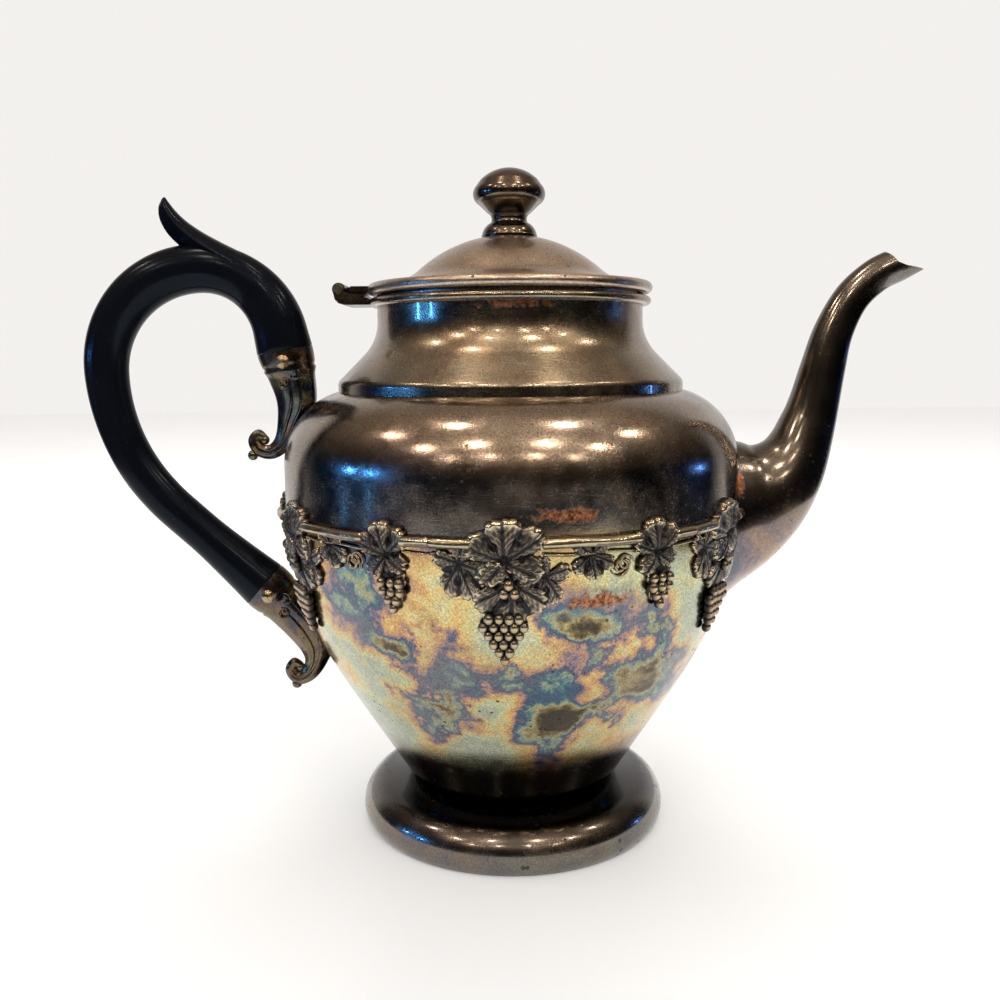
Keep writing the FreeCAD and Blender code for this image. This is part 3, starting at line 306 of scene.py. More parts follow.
# Surface effects that several finishes share.
def makeTarnishFilm():  # bands of colour that sulphide leaves on old silver
    tree, inlet, outlet = newGroup("tarnishFilm", (
        ("Vector", "NodeSocketVector", (0, 0, 0)), ("Scale", "NodeSocketFloat", 40.0),
        ("Thickness", "NodeSocketFloat", 0.5), ("Spread", "NodeSocketFloat", 1.0)),
        (("Film", "NodeSocketColor"), ("Cover", "NodeSocketFloat")))
    cloud = node(tree, "ShaderNodeTexNoise", Detail=6.0, Roughness=0.55, Distortion=0.5)
    drift = node(tree, "ShaderNodeTexNoise", Detail=2.0, Roughness=0.5, Distortion=0.4)
    slow = reckon(tree, "MULTIPLY", inlet.outputs["Scale"], 0.31)
    for texture, scale in ((cloud, inlet.outputs["Scale"]), (drift, slow)):
        feed(tree, inlet.outputs["Vector"], texture.inputs["Vector"])
        feed(tree, scale, texture.inputs["Scale"])
    grain = node(tree, "ShaderNodeTexNoise", Scale=520.0, Detail=6.0, Roughness=0.75)
    mottle = node(tree, "ShaderNodeTexNoise", Scale=170.0, Detail=8.0, Roughness=0.7)
    for texture in (grain, mottle):
        feed(tree, inlet.outputs["Vector"], texture.inputs["Vector"])
    mixed = reckon(tree, "ADD", reckon(tree, "MULTIPLY", cloud.outputs["Fac"], 0.5),
                   reckon(tree, "MULTIPLY", drift.outputs["Fac"], 0.5))
    swing = reckon(tree, "MULTIPLY", reckon(tree, "SUBTRACT", mixed, 0.5), inlet.outputs["Spread"])
    rough = reckon(tree, "MULTIPLY", reckon(tree, "SUBTRACT", grain.outputs["Fac"], 0.5), 0.3)
    depth = reckon(tree, "ADD", reckon(tree, "MULTIPLY", swing, 2.3), inlet.outputs["Thickness"])
    depth = reckon(tree, "ADD", depth, rough, True)
    film = ramp(tree, depth, (
        (0.0, (0.50, 0.61, 0.46)), (0.12, (0.64, 0.68, 0.36)), (0.26, (0.78, 0.58, 0.21)),
        (0.36, (0.66, 0.38, 0.15)), (0.43, (0.48, 0.28, 0.20)), (0.47, (0.26, 0.19, 0.25)),
        (0.52, (0.07, 0.10, 0.18)), (0.60, (0.06, 0.14, 0.20)), (0.68, (0.21, 0.32, 0.28)),
        (0.76, (0.42, 0.41, 0.22)), (0.84, (0.31, 0.24, 0.10)), (0.93, (0.13, 0.10, 0.05)),
        (1.0, (0.06, 0.05, 0.035))))
    film = blend(tree, 0.6, film, ramp(tree, mottle.outputs["Fac"], (
        (0.3, (0.45, 0.45, 0.46)), (0.5, (0.86, 0.85, 0.84)), (0.68, (1.0, 1.0, 1.0)))), "MULTIPLY")
    feed(tree, film, outlet.inputs["Film"])
    feed(tree, span(tree, mixed, 0.36, 0.6), outlet.inputs["Cover"])
    return tree


def makeRubbing():  # polishing hairlines and the soft waves of a spun wall
    tree, inlet, outlet = newGroup("rubbing", (
        ("Vector", "NodeSocketVector", (0, 0, 0)), ("Hairlines", "NodeSocketFloat", 0.5),
        ("Waves", "NodeSocketFloat", 0.5), ("Gloss", "NodeSocketFloat", 0.2),
        ("Bloom", "NodeSocketFloat", 0.1)),
        (("Roughness", "NodeSocketFloat"), ("Height", "NodeSocketFloat"), ("Tone", "NodeSocketFloat")))
    total = None
    for turn, stretch in (((0.3, 0.2, 0.4), (90, 900, 2600)), ((1.2, 0.5, 2.0), (2400, 120, 1100))):
        lie = node(tree, "ShaderNodeMapping")
        lie.inputs["Rotation"].default_value = turn
        lie.inputs["Scale"].default_value = stretch
        feed(tree, inlet.outputs["Vector"], lie.inputs["Vector"])
        hair = node(tree, "ShaderNodeTexNoise", Scale=1.0, Detail=2.0, Roughness=0.6)
        feed(tree, lie.outputs["Vector"], hair.inputs["Vector"])
        line = span(tree, hair.outputs["Fac"], 0.56, 0.74)
        total = line if total is None else reckon(tree, "MAXIMUM", total, line)
    scratches = reckon(tree, "MULTIPLY", total, inlet.outputs["Hairlines"])
    swell = node(tree, "ShaderNodeTexNoise", Scale=48.0, Detail=1.5, Roughness=0.4)
    cloudy = node(tree, "ShaderNodeTexNoise", Scale=120.0, Detail=4.0, Roughness=0.6)
    for texture in (swell, cloudy):
        feed(tree, inlet.outputs["Vector"], texture.inputs["Vector"])
    haze = reckon(tree, "MULTIPLY", span(tree, cloudy.outputs["Fac"], 0.35, 0.7), inlet.outputs["Bloom"])
    dull = reckon(tree, "ADD", inlet.outputs["Gloss"], haze)
    rough = reckon(tree, "ADD", dull, reckon(tree, "MULTIPLY", scratches, 0.16), True)
    grain = node(tree, "ShaderNodeTexNoise", Scale=2100.0, Detail=2.0)
    feed(tree, inlet.outputs["Vector"], grain.inputs["Vector"])
    wave = reckon(tree, "MULTIPLY", swell.outputs["Fac"], inlet.outputs["Waves"])
    wave = reckon(tree, "ADD", wave, reckon(tree, "MULTIPLY", grain.outputs["Fac"], 0.035))
    feed(tree, rough, outlet.inputs["Roughness"])
    feed(tree, span(tree, grain.outputs["Fac"], 0.3, 0.7, 0.62, 1.25), outlet.inputs["Tone"])
    height = reckon(tree, "SUBTRACT", wave, reckon(tree, "MULTIPLY", scratches, 0.04))
    feed(tree, height, outlet.inputs["Height"])
    return tree


def makeSpecks():  # pinhead spots of dirt and corrosion
    tree, inlet, outlet = newGroup("specks", (
        ("Vector", "NodeSocketVector", (0, 0, 0)), ("Scale", "NodeSocketFloat", 300.0),
        ("Size", "NodeSocketFloat", 0.2)), (("Mask", "NodeSocketFloat"),))
    cells = node(tree, "ShaderNodeTexVoronoi", Randomness=1.0)
    feed(tree, inlet.outputs["Vector"], cells.inputs["Vector"])
    feed(tree, inlet.outputs["Scale"], cells.inputs["Scale"])
    patchy = node(tree, "ShaderNodeTexNoise", Scale=70.0, Detail=2.0)
    feed(tree, inlet.outputs["Vector"], patchy.inputs["Vector"])
    reach = reckon(tree, "MULTIPLY", inlet.outputs["Size"], span(tree, patchy.outputs["Fac"], 0.42, 0.72))
    inside = reckon(tree, "SUBTRACT", reach, cells.outputs["Distance"])
    feed(tree, reckon(tree, "MULTIPLY", inside, 14.0, True), outlet.inputs["Mask"])
    return tree


def reachFrom(tree, inlet):  # how far a place lies from the centre, counted in sizes
    away = node(tree, "ShaderNodeVectorMath", operation="SUBTRACT")
    feed(tree, inlet.outputs["Vector"], away.inputs[0])
    feed(tree, inlet.outputs["Centre"], away.inputs[1])
    share = node(tree, "ShaderNodeVectorMath", operation="DIVIDE")
    feed(tree, away.outputs[0], share.inputs[0])
    feed(tree, inlet.outputs["Size"], share.inputs[1])
    length = node(tree, "ShaderNodeVectorMath", operation="LENGTH")
    feed(tree, share.outputs[0], length.inputs[0])
    return length.outputs["Value"]


def makeWornPatch():  # ragged place where the plating is rubbed through
    tree, inlet, outlet = newGroup("wornPatch", (
        ("Vector", "NodeSocketVector", (0, 0, 0)), ("Centre", "NodeSocketVector", (0, 0, 0)),
        ("Size", "NodeSocketVector", (1, 1, 1)), ("Ragged", "NodeSocketFloat", 0.6)),
        (("Mask", "NodeSocketFloat"), ("Halo", "NodeSocketFloat"), ("Copper", "NodeSocketColor")))
    length = reachFrom(tree, inlet)
    grit = node(tree, "ShaderNodeTexNoise", Scale=330.0, Detail=8.0, Roughness=0.72)
    feed(tree, inlet.outputs["Vector"], grit.inputs["Vector"])
    swing = reckon(tree, "SUBTRACT", grit.outputs["Fac"], 0.5)
    shift = reckon(tree, "MULTIPLY", swing, inlet.outputs["Ragged"])
    edge = reckon(tree, "ADD", length, reckon(tree, "MULTIPLY", shift, 9.0))
    feed(tree, span(tree, edge, 1.0, 0.6), outlet.inputs["Mask"])
    feed(tree, span(tree, edge, 2.0, 0.9), outlet.inputs["Halo"])
    spots = node(tree, "ShaderNodeTexNoise", Scale=950.0, Detail=5.0, Roughness=0.7)
    feed(tree, inlet.outputs["Vector"], spots.inputs["Vector"])
    copper = ramp(tree, spots.outputs["Fac"], (
        (0.36, (0.06, 0.03, 0.02)), (0.48, (0.28, 0.11, 0.05)), (0.62, (0.56, 0.27, 0.14))))
    feed(tree, copper, outlet.inputs["Copper"])
    return tree


def makeStain():  # cloudy place where the film is thicker or thinner
    tree, inlet, outlet = newGroup("stain", (
        ("Vector", "NodeSocketVector", (0, 0, 0)), ("Centre", "NodeSocketVector", (0, 0, 0)),
        ("Size", "NodeSocketVector", (1, 1, 1))), (("Mask", "NodeSocketFloat"),))
    curdle = node(tree, "ShaderNodeTexNoise", Scale=95.0, Detail=5.0, Roughness=0.58)
    feed(tree, inlet.outputs["Vector"], curdle.inputs["Vector"])
    length = reachFrom(tree, inlet)
    shift = reckon(tree, "MULTIPLY", reckon(tree, "SUBTRACT", curdle.outputs["Fac"], 0.5), 3.6)
    feed(tree, span(tree, reckon(tree, "ADD", length, shift), 1.5, 0.3), outlet.inputs["Mask"])
    return tree


tarnishFilm, rubbing, specks = makeTarnishFilm(), makeRubbing(), makeSpecks()
wornPatch, stain = makeWornPatch(), makeStain()


# Finishes.
def platedSilver(name, finish):
    material, tree, shader, where = newMaterial(name)
    height = node(tree, "ShaderNodeSeparateXYZ")
    feed(tree, where, height.inputs[0])
    depth = finish["filmDepth"]
    for centre, size, change in finish.get("stains", ()):  # millimetres, change of film depth
        spot = place(tree, stain, Vector=where, Centre=[c * mm for c in centre], Size=[s * mm for s in size])
        depth = reckon(tree, "ADD", reckon(tree, "MULTIPLY", spot.outputs["Mask"], change), depth)
    film = place(tree, tarnishFilm, Vector=where, Scale=finish["filmScale"], Thickness=depth,
                 Spread=finish["filmSpread"])
    low, high, amountLow, amountHigh = finish["filmByHeight"]  # millimetres up, share of film
    amount = span(tree, height.outputs["Z"], low * mm, high * mm, amountLow, amountHigh)
    cover = reckon(tree, "MULTIPLY", amount, span(tree, film.outputs["Cover"], 0.0, 1.0, 0.55, 1.0))
    colour = blend(tree, cover, finish["metal"], film.outputs["Film"])
    # paintedShade: painted shade and painted dark reflection, blended to near-black by height
    if "paintedShade" in finish:  # millimetres up, share of light kept
        low, high, lightLow, lightHigh = finish["paintedShade"]
        light = span(tree, height.outputs["Z"], low * mm, high * mm, lightLow, lightHigh)
        colour = blend(tree, light, (0.006, 0.006, 0.008), colour)
    dirt = place(tree, specks, Vector=where, Scale=finish["speckScale"], Size=finish["speckSize"])
    colour = blend(tree, reckon(tree, "MULTIPLY", dirt.outputs["Mask"], 0.8), colour, (0.035, 0.028, 0.02))
    rub = place(tree, rubbing, Vector=where, Hairlines=finish["hairlines"], Waves=finish["waves"],
                Gloss=finish["gloss"], Bloom=finish["bloom"])
    colour = blend(tree, 1.0, colour, rub.outputs["Tone"], "MULTIPLY")
    dusty = reckon(tree, "MULTIPLY", dirt.outputs["Mask"], 0.3)
    rough = reckon(tree, "ADD", rub.outputs["Roughness"], dusty, True)
    for centre, size, ragged in finish.get("worn", ()):  # millimetres
        patch = place(tree, wornPatch, Vector=where, Centre=[c * mm for c in centre],
                      Size=[s * mm for s in size], Ragged=ragged)
        halo = reckon(tree, "MULTIPLY", patch.outputs["Halo"], 0.65)
        colour = blend(tree, halo, colour, (0.10, 0.16, 0.21))
        colour = blend(tree, patch.outputs["Mask"], colour, patch.outputs["Copper"])
        rough = reckon(tree, "ADD", rough, reckon(tree, "MULTIPLY", patch.outputs["Mask"], 0.25), True)
    feed(tree, colour, shader.inputs["Base Color"])
    feed(tree, rough, shader.inputs["Roughness"])
    bump = node(tree, "ShaderNodeBump", Strength=1.0, Distance=0.00022)
    feed(tree, rub.outputs["Height"], bump.inputs["Height"])
    feed(tree, bump.outputs["Normal"], shader.inputs["Normal"])
    shader.inputs["Metallic"].default_value = 1.0
    shader.inputs["Coat Weight"].default_value = finish.get("skin", 0.4)  # the sulphide skin, hard and clear
    shader.inputs["Coat Roughness"].default_value = 0.05
    shader.inputs["Coat IOR"].default_value = 1.7
    return material


def castVine():  # black in the hollows, bronze and gold on what is rubbed
    material, tree, shader, where = newMaterial("castVine")
    lifted = node(tree, "ShaderNodeAttribute", attribute_name="lift").outputs["Fac"]
    film = place(tree, tarnishFilm, Vector=where, Scale=95.0, Thickness=0.2, Spread=1.2)
    grit = node(tree, "ShaderNodeTexNoise", Scale=900.0, Detail=4.0, Roughness=0.7)
    feed(tree, where, grit.inputs["Vector"])
    patchy = reckon(tree, "MULTIPLY", reckon(tree, "SUBTRACT", grit.outputs["Fac"], 0.5), 0.5)
    worn = reckon(tree, "ADD", lifted, patchy)
    dark = ramp(tree, worn, (
        (0.12, (0.008, 0.008, 0.01)), (0.38, (0.05, 0.046, 0.042)), (0.58, (0.17, 0.145, 0.115)),
        (0.78, (0.42, 0.34, 0.24)), (1.0, (0.60, 0.55, 0.47))))
    tint = reckon(tree, "MULTIPLY", span(tree, worn, 0.3, 0.75), 0.28)
    colour = blend(tree, tint, dark, film.outputs["Film"], "OVERLAY")
    feed(tree, colour, shader.inputs["Base Color"])
    feed(tree, span(tree, worn, 0.1, 0.9, 0.38, 0.17), shader.inputs["Roughness"])
    feed(tree, span(tree, worn, 0.05, 0.8, 0.35, 0.96), shader.inputs["Metallic"])
    bump = node(tree, "ShaderNodeBump", Strength=0.6, Distance=0.0001)
    feed(tree, grit.outputs["Fac"], bump.inputs["Height"])
    feed(tree, bump.outputs["Normal"], shader.inputs["Normal"])
    return material


def ebonisedGrip():  # black hard grip with a rubbed satin skin
    material, tree, shader, where = newMaterial("ebonisedGrip")
    rub = place(tree, rubbing, Vector=where, Hairlines=0.5, Waves=0.2, Gloss=0.15, Bloom=0.1)
    dust = place(tree, specks, Vector=where, Scale=420.0, Size=0.16)
    cloud = node(tree, "ShaderNodeTexNoise", Scale=55.0, Detail=4.0, Roughness=0.6)
    feed(tree, where, cloud.inputs["Vector"])
    colour = ramp(tree, cloud.outputs["Fac"], ((0.3, (0.002, 0.0025, 0.005)), (0.7, (0.004, 0.0045, 0.007))))
    colour = blend(tree, reckon(tree, "MULTIPLY", dust.outputs["Mask"], 0.35), colour, (0.07, 0.06, 0.055))
    feed(tree, colour, shader.inputs["Base Color"])
    feed(tree, rub.outputs["Roughness"], shader.inputs["Roughness"])
    bump = node(tree, "ShaderNodeBump", Strength=0.7, Distance=0.0002)
    feed(tree, rub.outputs["Height"], bump.inputs["Height"])
    feed(tree, bump.outputs["Normal"], shader.inputs["Normal"])
    shader.inputs["Specular IOR Level"].default_value = 0.13
    shader.inputs["Specular Tint"].default_value = (0.62, 0.80, 1.0, 1)
    return material


bowlSilver = platedSilver("bowlSilver", {
    "metal": (0.36, 0.30, 0.25), "filmScale": 60.0, "filmDepth": 0.21, "filmSpread": 1.1,
    "filmByHeight": (96, 103, 0.97, 0.08), "speckScale": 420.0, "speckSize": 0.26, "hairlines": 0.45,
    # paintedShade on the bowl: painted shade and a painted dark reflection of the foot, near-black below 28
    # mm
    "waves": 0.55, "gloss": 0.13, "bloom": 0.15, "skin": 0.12, "paintedShade": (28, 36, 0.05, 1.0),
    "stains": (((-18, -57, 62), (13, 16, 9.5), 0.55), ((11, -50, 45), (10, 13, 8), 0.62),
               ((37, -45, 58), (15, 16, 11), 0.66), ((28, -59, 77), (16, 12, 5.5), 0.42),
               ((-42, -50, 76), (12, 13, 12), 0.44), ((14, -61, 68), (8, 12, 6), 0.25),
               ((4, -60, 61), (4.5, 12, 9), 0.25), ((-21, -48, 46), (11, 13, 7), 0.62),
               ((-38, -31, 42), (12, 14, 11), -0.2), ((-3, -54, 50), (9, 10, 5), -0.14),
               ((20, 60, 70), (18, 18, 11), 0.45), ((-25, 55, 60), (16, 18, 12), 0.4)),
    "worn": (((14, -66.6, 105.2), (9.5, 5.0, 1.9), 0.5), ((21.1, -63, 82.8), (9.5, 7.0, 2.6), 0.5),
             ((52, 40, 88), (5.0, 8.0, 3.0), 0.6), ((-30, 60, 105), (9.0, 5.0, 2.0), 0.6))})
neckSilver = platedSilver("neckSilver", {
    "metal": (0.26, 0.212, 0.175), "filmScale": 38.0, "filmDepth": 0.2, "filmSpread": 0.9,
    "filmByHeight": (134, 160, 0.15, 0.2), "speckScale": 380.0, "speckSize": 0.24, "hairlines": 0.6,
    "waves": 0.5, "gloss": 0.18, "bloom": 0.16,
    "worn": (((3, -39.5, 157.2), (11.0, 4.0, 1.3), 0.6), ((-25, 30, 157.4), (8.0, 8.0, 1.2), 0.6))})
lidSilver = platedSilver("lidSilver", {
    "metal": (0.54, 0.44, 0.37), "filmScale": 34.0, "filmDepth": 0.18, "filmSpread": 0.8,
    "filmByHeight": (160, 180, 0.15, 0.1), "speckScale": 360.0, "speckSize": 0.22, "hairlines": 0.7,
    "waves": 0.4, "gloss": 0.27, "bloom": 0.18})
finialSilver = platedSilver("finialSilver", {
    "metal": (0.08, 0.076, 0.07), "filmScale": 60.0, "filmDepth": 0.25, "filmSpread": 0.9,
    "filmByHeight": (176, 198, 0.12, 0.12), "speckScale": 420.0, "speckSize": 0.24, "hairlines": 0.5,
    "waves": 0.3, "gloss": 0.15, "bloom": 0.12})
footSilver = platedSilver("footSilver", {
    "metal": (0.17, 0.15, 0.13), "filmScale": 60.0, "filmDepth": 0.5, "filmSpread": 1.1,
    "filmByHeight": (0, 14, 0.12, 0.1), "speckScale": 340.0, "speckSize": 0.34, "hairlines": 0.5,
    # paintedShade on the foot: painted shade on its top under the bowl, darkest above 13.4 mm
    "waves": 0.5, "gloss": 0.14, "bloom": 0.16, "paintedShade": (9, 13.4, 1.0, 0.12)})
spoutSilver = platedSilver("spoutSilver", {
    "metal": (0.16, 0.148, 0.132), "filmScale": 42.0, "filmDepth": 0.4, "filmSpread": 0.7,
    "filmByHeight": (82, 104, 0.6, 0.06), "speckScale": 400.0, "speckSize": 0.25, "hairlines": 0.4,
    "waves": 0.3, "gloss": 0.14, "bloom": 0.1,
    "worn": (((66.6, -16.5, 107), (1.5, 2.6, 7.0), 0.4), ((66.6, 16.5, 104), (1.5, 2.6, 6.0), 0.4))})
socketSilver = platedSilver("socketSilver", {
    "metal": (0.065, 0.06, 0.054), "filmScale": 90.0, "filmDepth": 0.35, "filmSpread": 1.3,
    "filmByHeight": (40, 150, 0.2, 0.2), "speckScale": 420.0, "speckSize": 0.3, "hairlines": 0.4,
    "waves": 0.4, "gloss": 0.16, "bloom": 0.2, "skin": 0.25})
pinSilver = platedSilver("pinSilver", {
    "metal": (0.22, 0.195, 0.16), "filmScale": 150.0, "filmDepth": 0.2, "filmSpread": 0.9,
    "filmByHeight": (40, 180, 0.4, 0.4), "speckScale": 500.0, "speckSize": 0.3, "hairlines": 0.6,
    "waves": 0.3, "gloss": 0.2, "bloom": 0.2})
vineSilver = castVine()
gripBlack = ebonisedGrip()
print("teapot: finishes made,", len(bpy.data.materials), "materials")


# Turned and spun pieces.
bowlShape = {"belly": 68.1, "bellyZ": 101.0, "shoulderZ": 112.0, "bellyArc": 100.0, "slope": 32.0,
             "floorZ": 16.2, "fillet": 5.0, "shoulderArc": 22.0, "ledge": 52.3, "ledgeZ": 133.108,
             "opening": 49.0, "wall": 1.0, "holeRadius": 1.5, "holePitch": 5.2, "holeDrop": 8,
             "drill": (55, 75), "drillSteps": 20}  # drill: from and to, along X


def bowlRadius(height):  # outside of the bowl
    s = bowlShape
    if height > s["shoulderZ"]:
        rise = min(height - s["shoulderZ"], s["shoulderArc"] * 0.98)
        return s["belly"] - s["shoulderArc"] + math.sqrt(s["shoulderArc"] ** 2 - rise ** 2)
    drop = max(s["bellyZ"] - height, 0)
    lean = math.radians(s["slope"])
    coneDrop = s["bellyArc"] * math.sin(lean)
    if drop <= coneDrop:
        return s["belly"] - s["bellyArc"] + math.sqrt(s["bellyArc"] ** 2 - drop ** 2)
    coneRadius = s["belly"] - s["bellyArc"] * (1 - math.cos(lean))
    return coneRadius - (drop - coneDrop) * math.tan(lean)


def makeBowl():
    s = bowlShape
    lean = math.radians(s["slope"])
    wall, fillet, arc = s["wall"], s["fillet"], s["bellyArc"]
    coneR, coneZ = s["belly"] - arc + arc * math.cos(lean), s["bellyZ"] - arc * math.sin(lean)
    corner = coneR - (coneZ - s["floorZ"]) * math.tan(lean)
    flat = corner - fillet * math.cos(lean) / (1 + math.sin(lean))
    line = [(0, s["floorZ"]), (flat, s["floorZ"])]
    filletZ = s["floorZ"] + fillet
    bendTo(line, flat + fillet * math.cos(lean), filletZ - fillet * math.sin(lean), fillet, "left")
    runTo(line, coneR, coneZ, 8)
    bendTo(line, s["belly"], s["bellyZ"], arc, "left")
    line += [(s["belly"], (s["bellyZ"] + s["shoulderZ"]) / 2), (s["belly"], s["shoulderZ"])]
    bendTo(line, s["ledge"], s["ledgeZ"], s["shoulderArc"], "left")
    line += [(s["opening"], s["ledgeZ"]), (s["opening"], s["ledgeZ"] - wall)]
    innerArc = s["shoulderArc"] - wall
    rise = s["ledgeZ"] - wall - s["shoulderZ"]
    line.append((s["belly"] - s["shoulderArc"] + math.sqrt(innerArc ** 2 - rise ** 2), s["ledgeZ"] - wall))
    bendTo(line, s["belly"] - wall, s["shoulderZ"], innerArc, "right")
    line.append((s["belly"] - wall, s["bellyZ"]))
    inner = arc - wall
    coneTopR = s["belly"] - arc + inner * math.cos(lean)
    bendTo(line, coneTopR, s["bellyZ"] - inner * math.sin(lean), inner, "right")
    inner = fillet - wall
    line.append((flat + inner * math.cos(lean), filletZ - inner * math.sin(lean)))
    bendTo(line, flat, s["floorZ"] + wall, inner, "right")
    line.append((0, s["floorZ"] + wall))
    piece = finishMesh("bowlShell", *spin(line), bowlSilver)
    drills = []
    for row in range(-2, 3):
        count = 5 - abs(row)
        for spot in range(count):
            across = s["holePitch"] * (spot - (count - 1) / 2)
            height = s["bellyZ"] - s["holeDrop"] + s["holePitch"] * row * math.sqrt(3) / 2
            ring = [(across + s["holeRadius"] * math.cos(turn), height + s["holeRadius"] * math.sin(turn))
                    for turn in circle(s["drillSteps"])]
            drills.append(skin([[(x, y, z) for y, z in ring] for x in s["drill"]]))
    cutter = finishMesh("strainerDrills", *gather(*drills), bowlSilver)
    trim(piece, cutter, "DIFFERENCE")
    return seat(piece, "pot", "silver_plate", "bowl")


footShape = {"radius": 47.2, "rest": 45.2, "restWidth": 1.8, "bulge": 4.5, "crown": 9.0, "angle": 80.0,
             "waist": 30.0, "top": 16.2, "seat": 24.0, "wall": 1.0,
             "ease": ((1.4, -0.15), (0.45, 0.1), (0.0, 0.55))}  # out and up, where the collar begins


def makeFoot():
    s = footShape
    turn = math.radians(s["angle"])
    under = s["radius"] - s["rest"]
    crownR, crownZ = s["radius"] - s["crown"] * (1 - math.cos(turn)), s["bulge"] + s["crown"] * math.sin(turn)
    inner = s["crown"] - s["wall"]
    innerR, innerZ = s["radius"] - s["crown"] + inner * math.cos(turn), s["bulge"] + inner * math.sin(turn)
    collarZ = crownZ + (crownR - s["waist"]) / math.tan(turn)
    underZ = innerZ + (innerR - s["waist"] + s["wall"]) / math.tan(turn)
    line = [(s["rest"] - s["restWidth"], 0), (s["rest"], 0)]
    bendTo(line, s["radius"], s["bulge"], (under ** 2 + s["bulge"] ** 2) / (2 * under), "left")
    bendTo(line, crownR, crownZ, s["crown"], "left")
    line += [(s["waist"] + out, collarZ + up) for out, up in s["ease"]]
    line += [(s["waist"], s["top"]), (s["seat"], s["top"]), (s["seat"], s["top"] - s["wall"])]
    innerWaist = s["waist"] - s["wall"]
    line += [(innerWaist, s["top"] - s["wall"]), (innerWaist, underZ), (innerR, innerZ)]
    bendTo(line, s["radius"] - s["wall"], s["bulge"], inner, "right")
    return seat(finishMesh("spreadFoot", *spin(line), footSilver), "pot", "silver_plate", "foot")


neckShape = {"base": 51.6, "ledgeZ": 133.108, "skirt": 3.1, "edgeRound": 2.4, "slope": 45.0, "throat": 39.6,
             "throatArc": 14.0, "throatZ": 154.007, "mouthZ": 160.607, "wall": 1.0}


def makeNeck():
    s = neckShape
    lean = math.radians(s["slope"])
    reach = s["edgeRound"] * math.tan(lean / 2)
    cornerZ = s["ledgeZ"] + s["skirt"]
    outer, inner = s["throat"] + s["throatArc"], s["throatArc"] + s["wall"]
    line = [(s["base"] - s["wall"], s["ledgeZ"]), (s["base"], s["ledgeZ"]), (s["base"], cornerZ - reach)]
    bendTo(line, s["base"] - reach * math.sin(lean), cornerZ + reach * math.cos(lean), s["edgeRound"], "left")
    startR, startZ = outer - s["throatArc"] * math.cos(lean), s["throatZ"] - s["throatArc"] * math.sin(lean)
    runTo(line, startR, startZ, 5)
    bendTo(line, s["throat"], s["throatZ"], s["throatArc"], "right")
    innerThroat = s["throat"] - s["wall"]
    line += [(s["throat"], s["mouthZ"]), (innerThroat, s["mouthZ"]), (innerThroat, s["throatZ"])]
    bendTo(line, outer - inner * math.cos(lean), s["throatZ"] - inner * math.sin(lean), inner, "left")
    innerRound = s["edgeRound"] - s["wall"]
    roundR, roundZ = s["base"] - s["edgeRound"], cornerZ - reach
    line.append((roundR + innerRound * math.cos(lean), roundZ + innerRound * math.sin(lean)))
    bendTo(line, s["base"] - s["wall"], roundZ, innerRound, "right")
    return seat(finishMesh("neckSlope", *spin(line), neckSilver), "pot", "silver_plate", "neck_collar")


rimShape = {"radius": 42.0, "half": 1.3, "seat": 39.65, "top": 160.607}


def makeMouthWire():
    s = rimShape
    line = [(s["seat"], s["top"] - 2 * s["half"]), (s["radius"] - s["half"], s["top"] - 2 * s["half"])]
    bendTo(line, s["radius"], s["top"] - s["half"], s["half"], "left")
    bendTo(line, s["radius"] - s["half"], s["top"], s["half"], "left")
    line.append((s["seat"], s["top"]))
    return seat(finishMesh("mouthWire", *spin(line), neckSilver), "pot", "silver_plate", "mouth_rim")


lidShape = {"rim": 42.4, "bead": 1.7, "lidZ": 161.407, "fall": 6.0, "cove": 12.0, "dome": 41.0, "turn": 42.0,
            "wall": 1.0, "hole": 1.98, "edge": 2.7}


def makeLid():  # gives the height of the dome's centre
    s = lidShape
    fall, turn, wall = math.radians(s["fall"]), math.radians(s["turn"]), s["wall"]
    beadR, beadZ = s["rim"] - s["bead"], s["lidZ"] + s["bead"]
    flangeR, flangeZ = beadR + s["bead"] * math.sin(fall), beadZ + s["bead"] * math.cos(fall)
    coveC = (s["dome"] + s["cove"]) * math.sin(turn)
    coveR = coveC - s["cove"] * math.sin(fall)
    coveZ = flangeZ + (flangeR - coveR) * math.tan(fall)
    domeZ = coveZ + s["cove"] * math.cos(fall) - (s["dome"] + s["cove"]) * math.cos(turn)
    coveTop = domeZ + (s["dome"] + s["cove"]) * math.cos(turn)
    innerDome, innerCove = s["dome"] - wall, s["cove"] + wall
    innerR, innerZ = coveC - innerCove * math.sin(fall), coveTop - innerCove * math.cos(fall)
    edge = s["rim"] - s["edge"]
    line = [(beadR, s["lidZ"])]
    bendTo(line, s["rim"], beadZ, s["bead"], "left")
    bendTo(line, flangeR, flangeZ, s["bead"], "left")
    line.append((coveR, coveZ))
    bendTo(line, s["dome"] * math.sin(turn), domeZ + s["dome"] * math.cos(turn), s["cove"], "right")
    bendTo(line, s["hole"], domeZ + math.sqrt(s["dome"] ** 2 - s["hole"] ** 2), s["dome"], "left")
    line.append((s["hole"], domeZ + math.sqrt(innerDome ** 2 - s["hole"] ** 2)))
    bendTo(line, innerDome * math.sin(turn), domeZ + innerDome * math.cos(turn), innerDome, "right")
    bendTo(line, innerR, innerZ, innerCove, "left")
    line += [(edge, innerZ - (edge - innerR) * math.tan(fall)), (edge, s["lidZ"])]
    seat(finishMesh("domedLid", *spin(line), lidSilver), "lid", "silver_plate", "lid")
    return domeZ


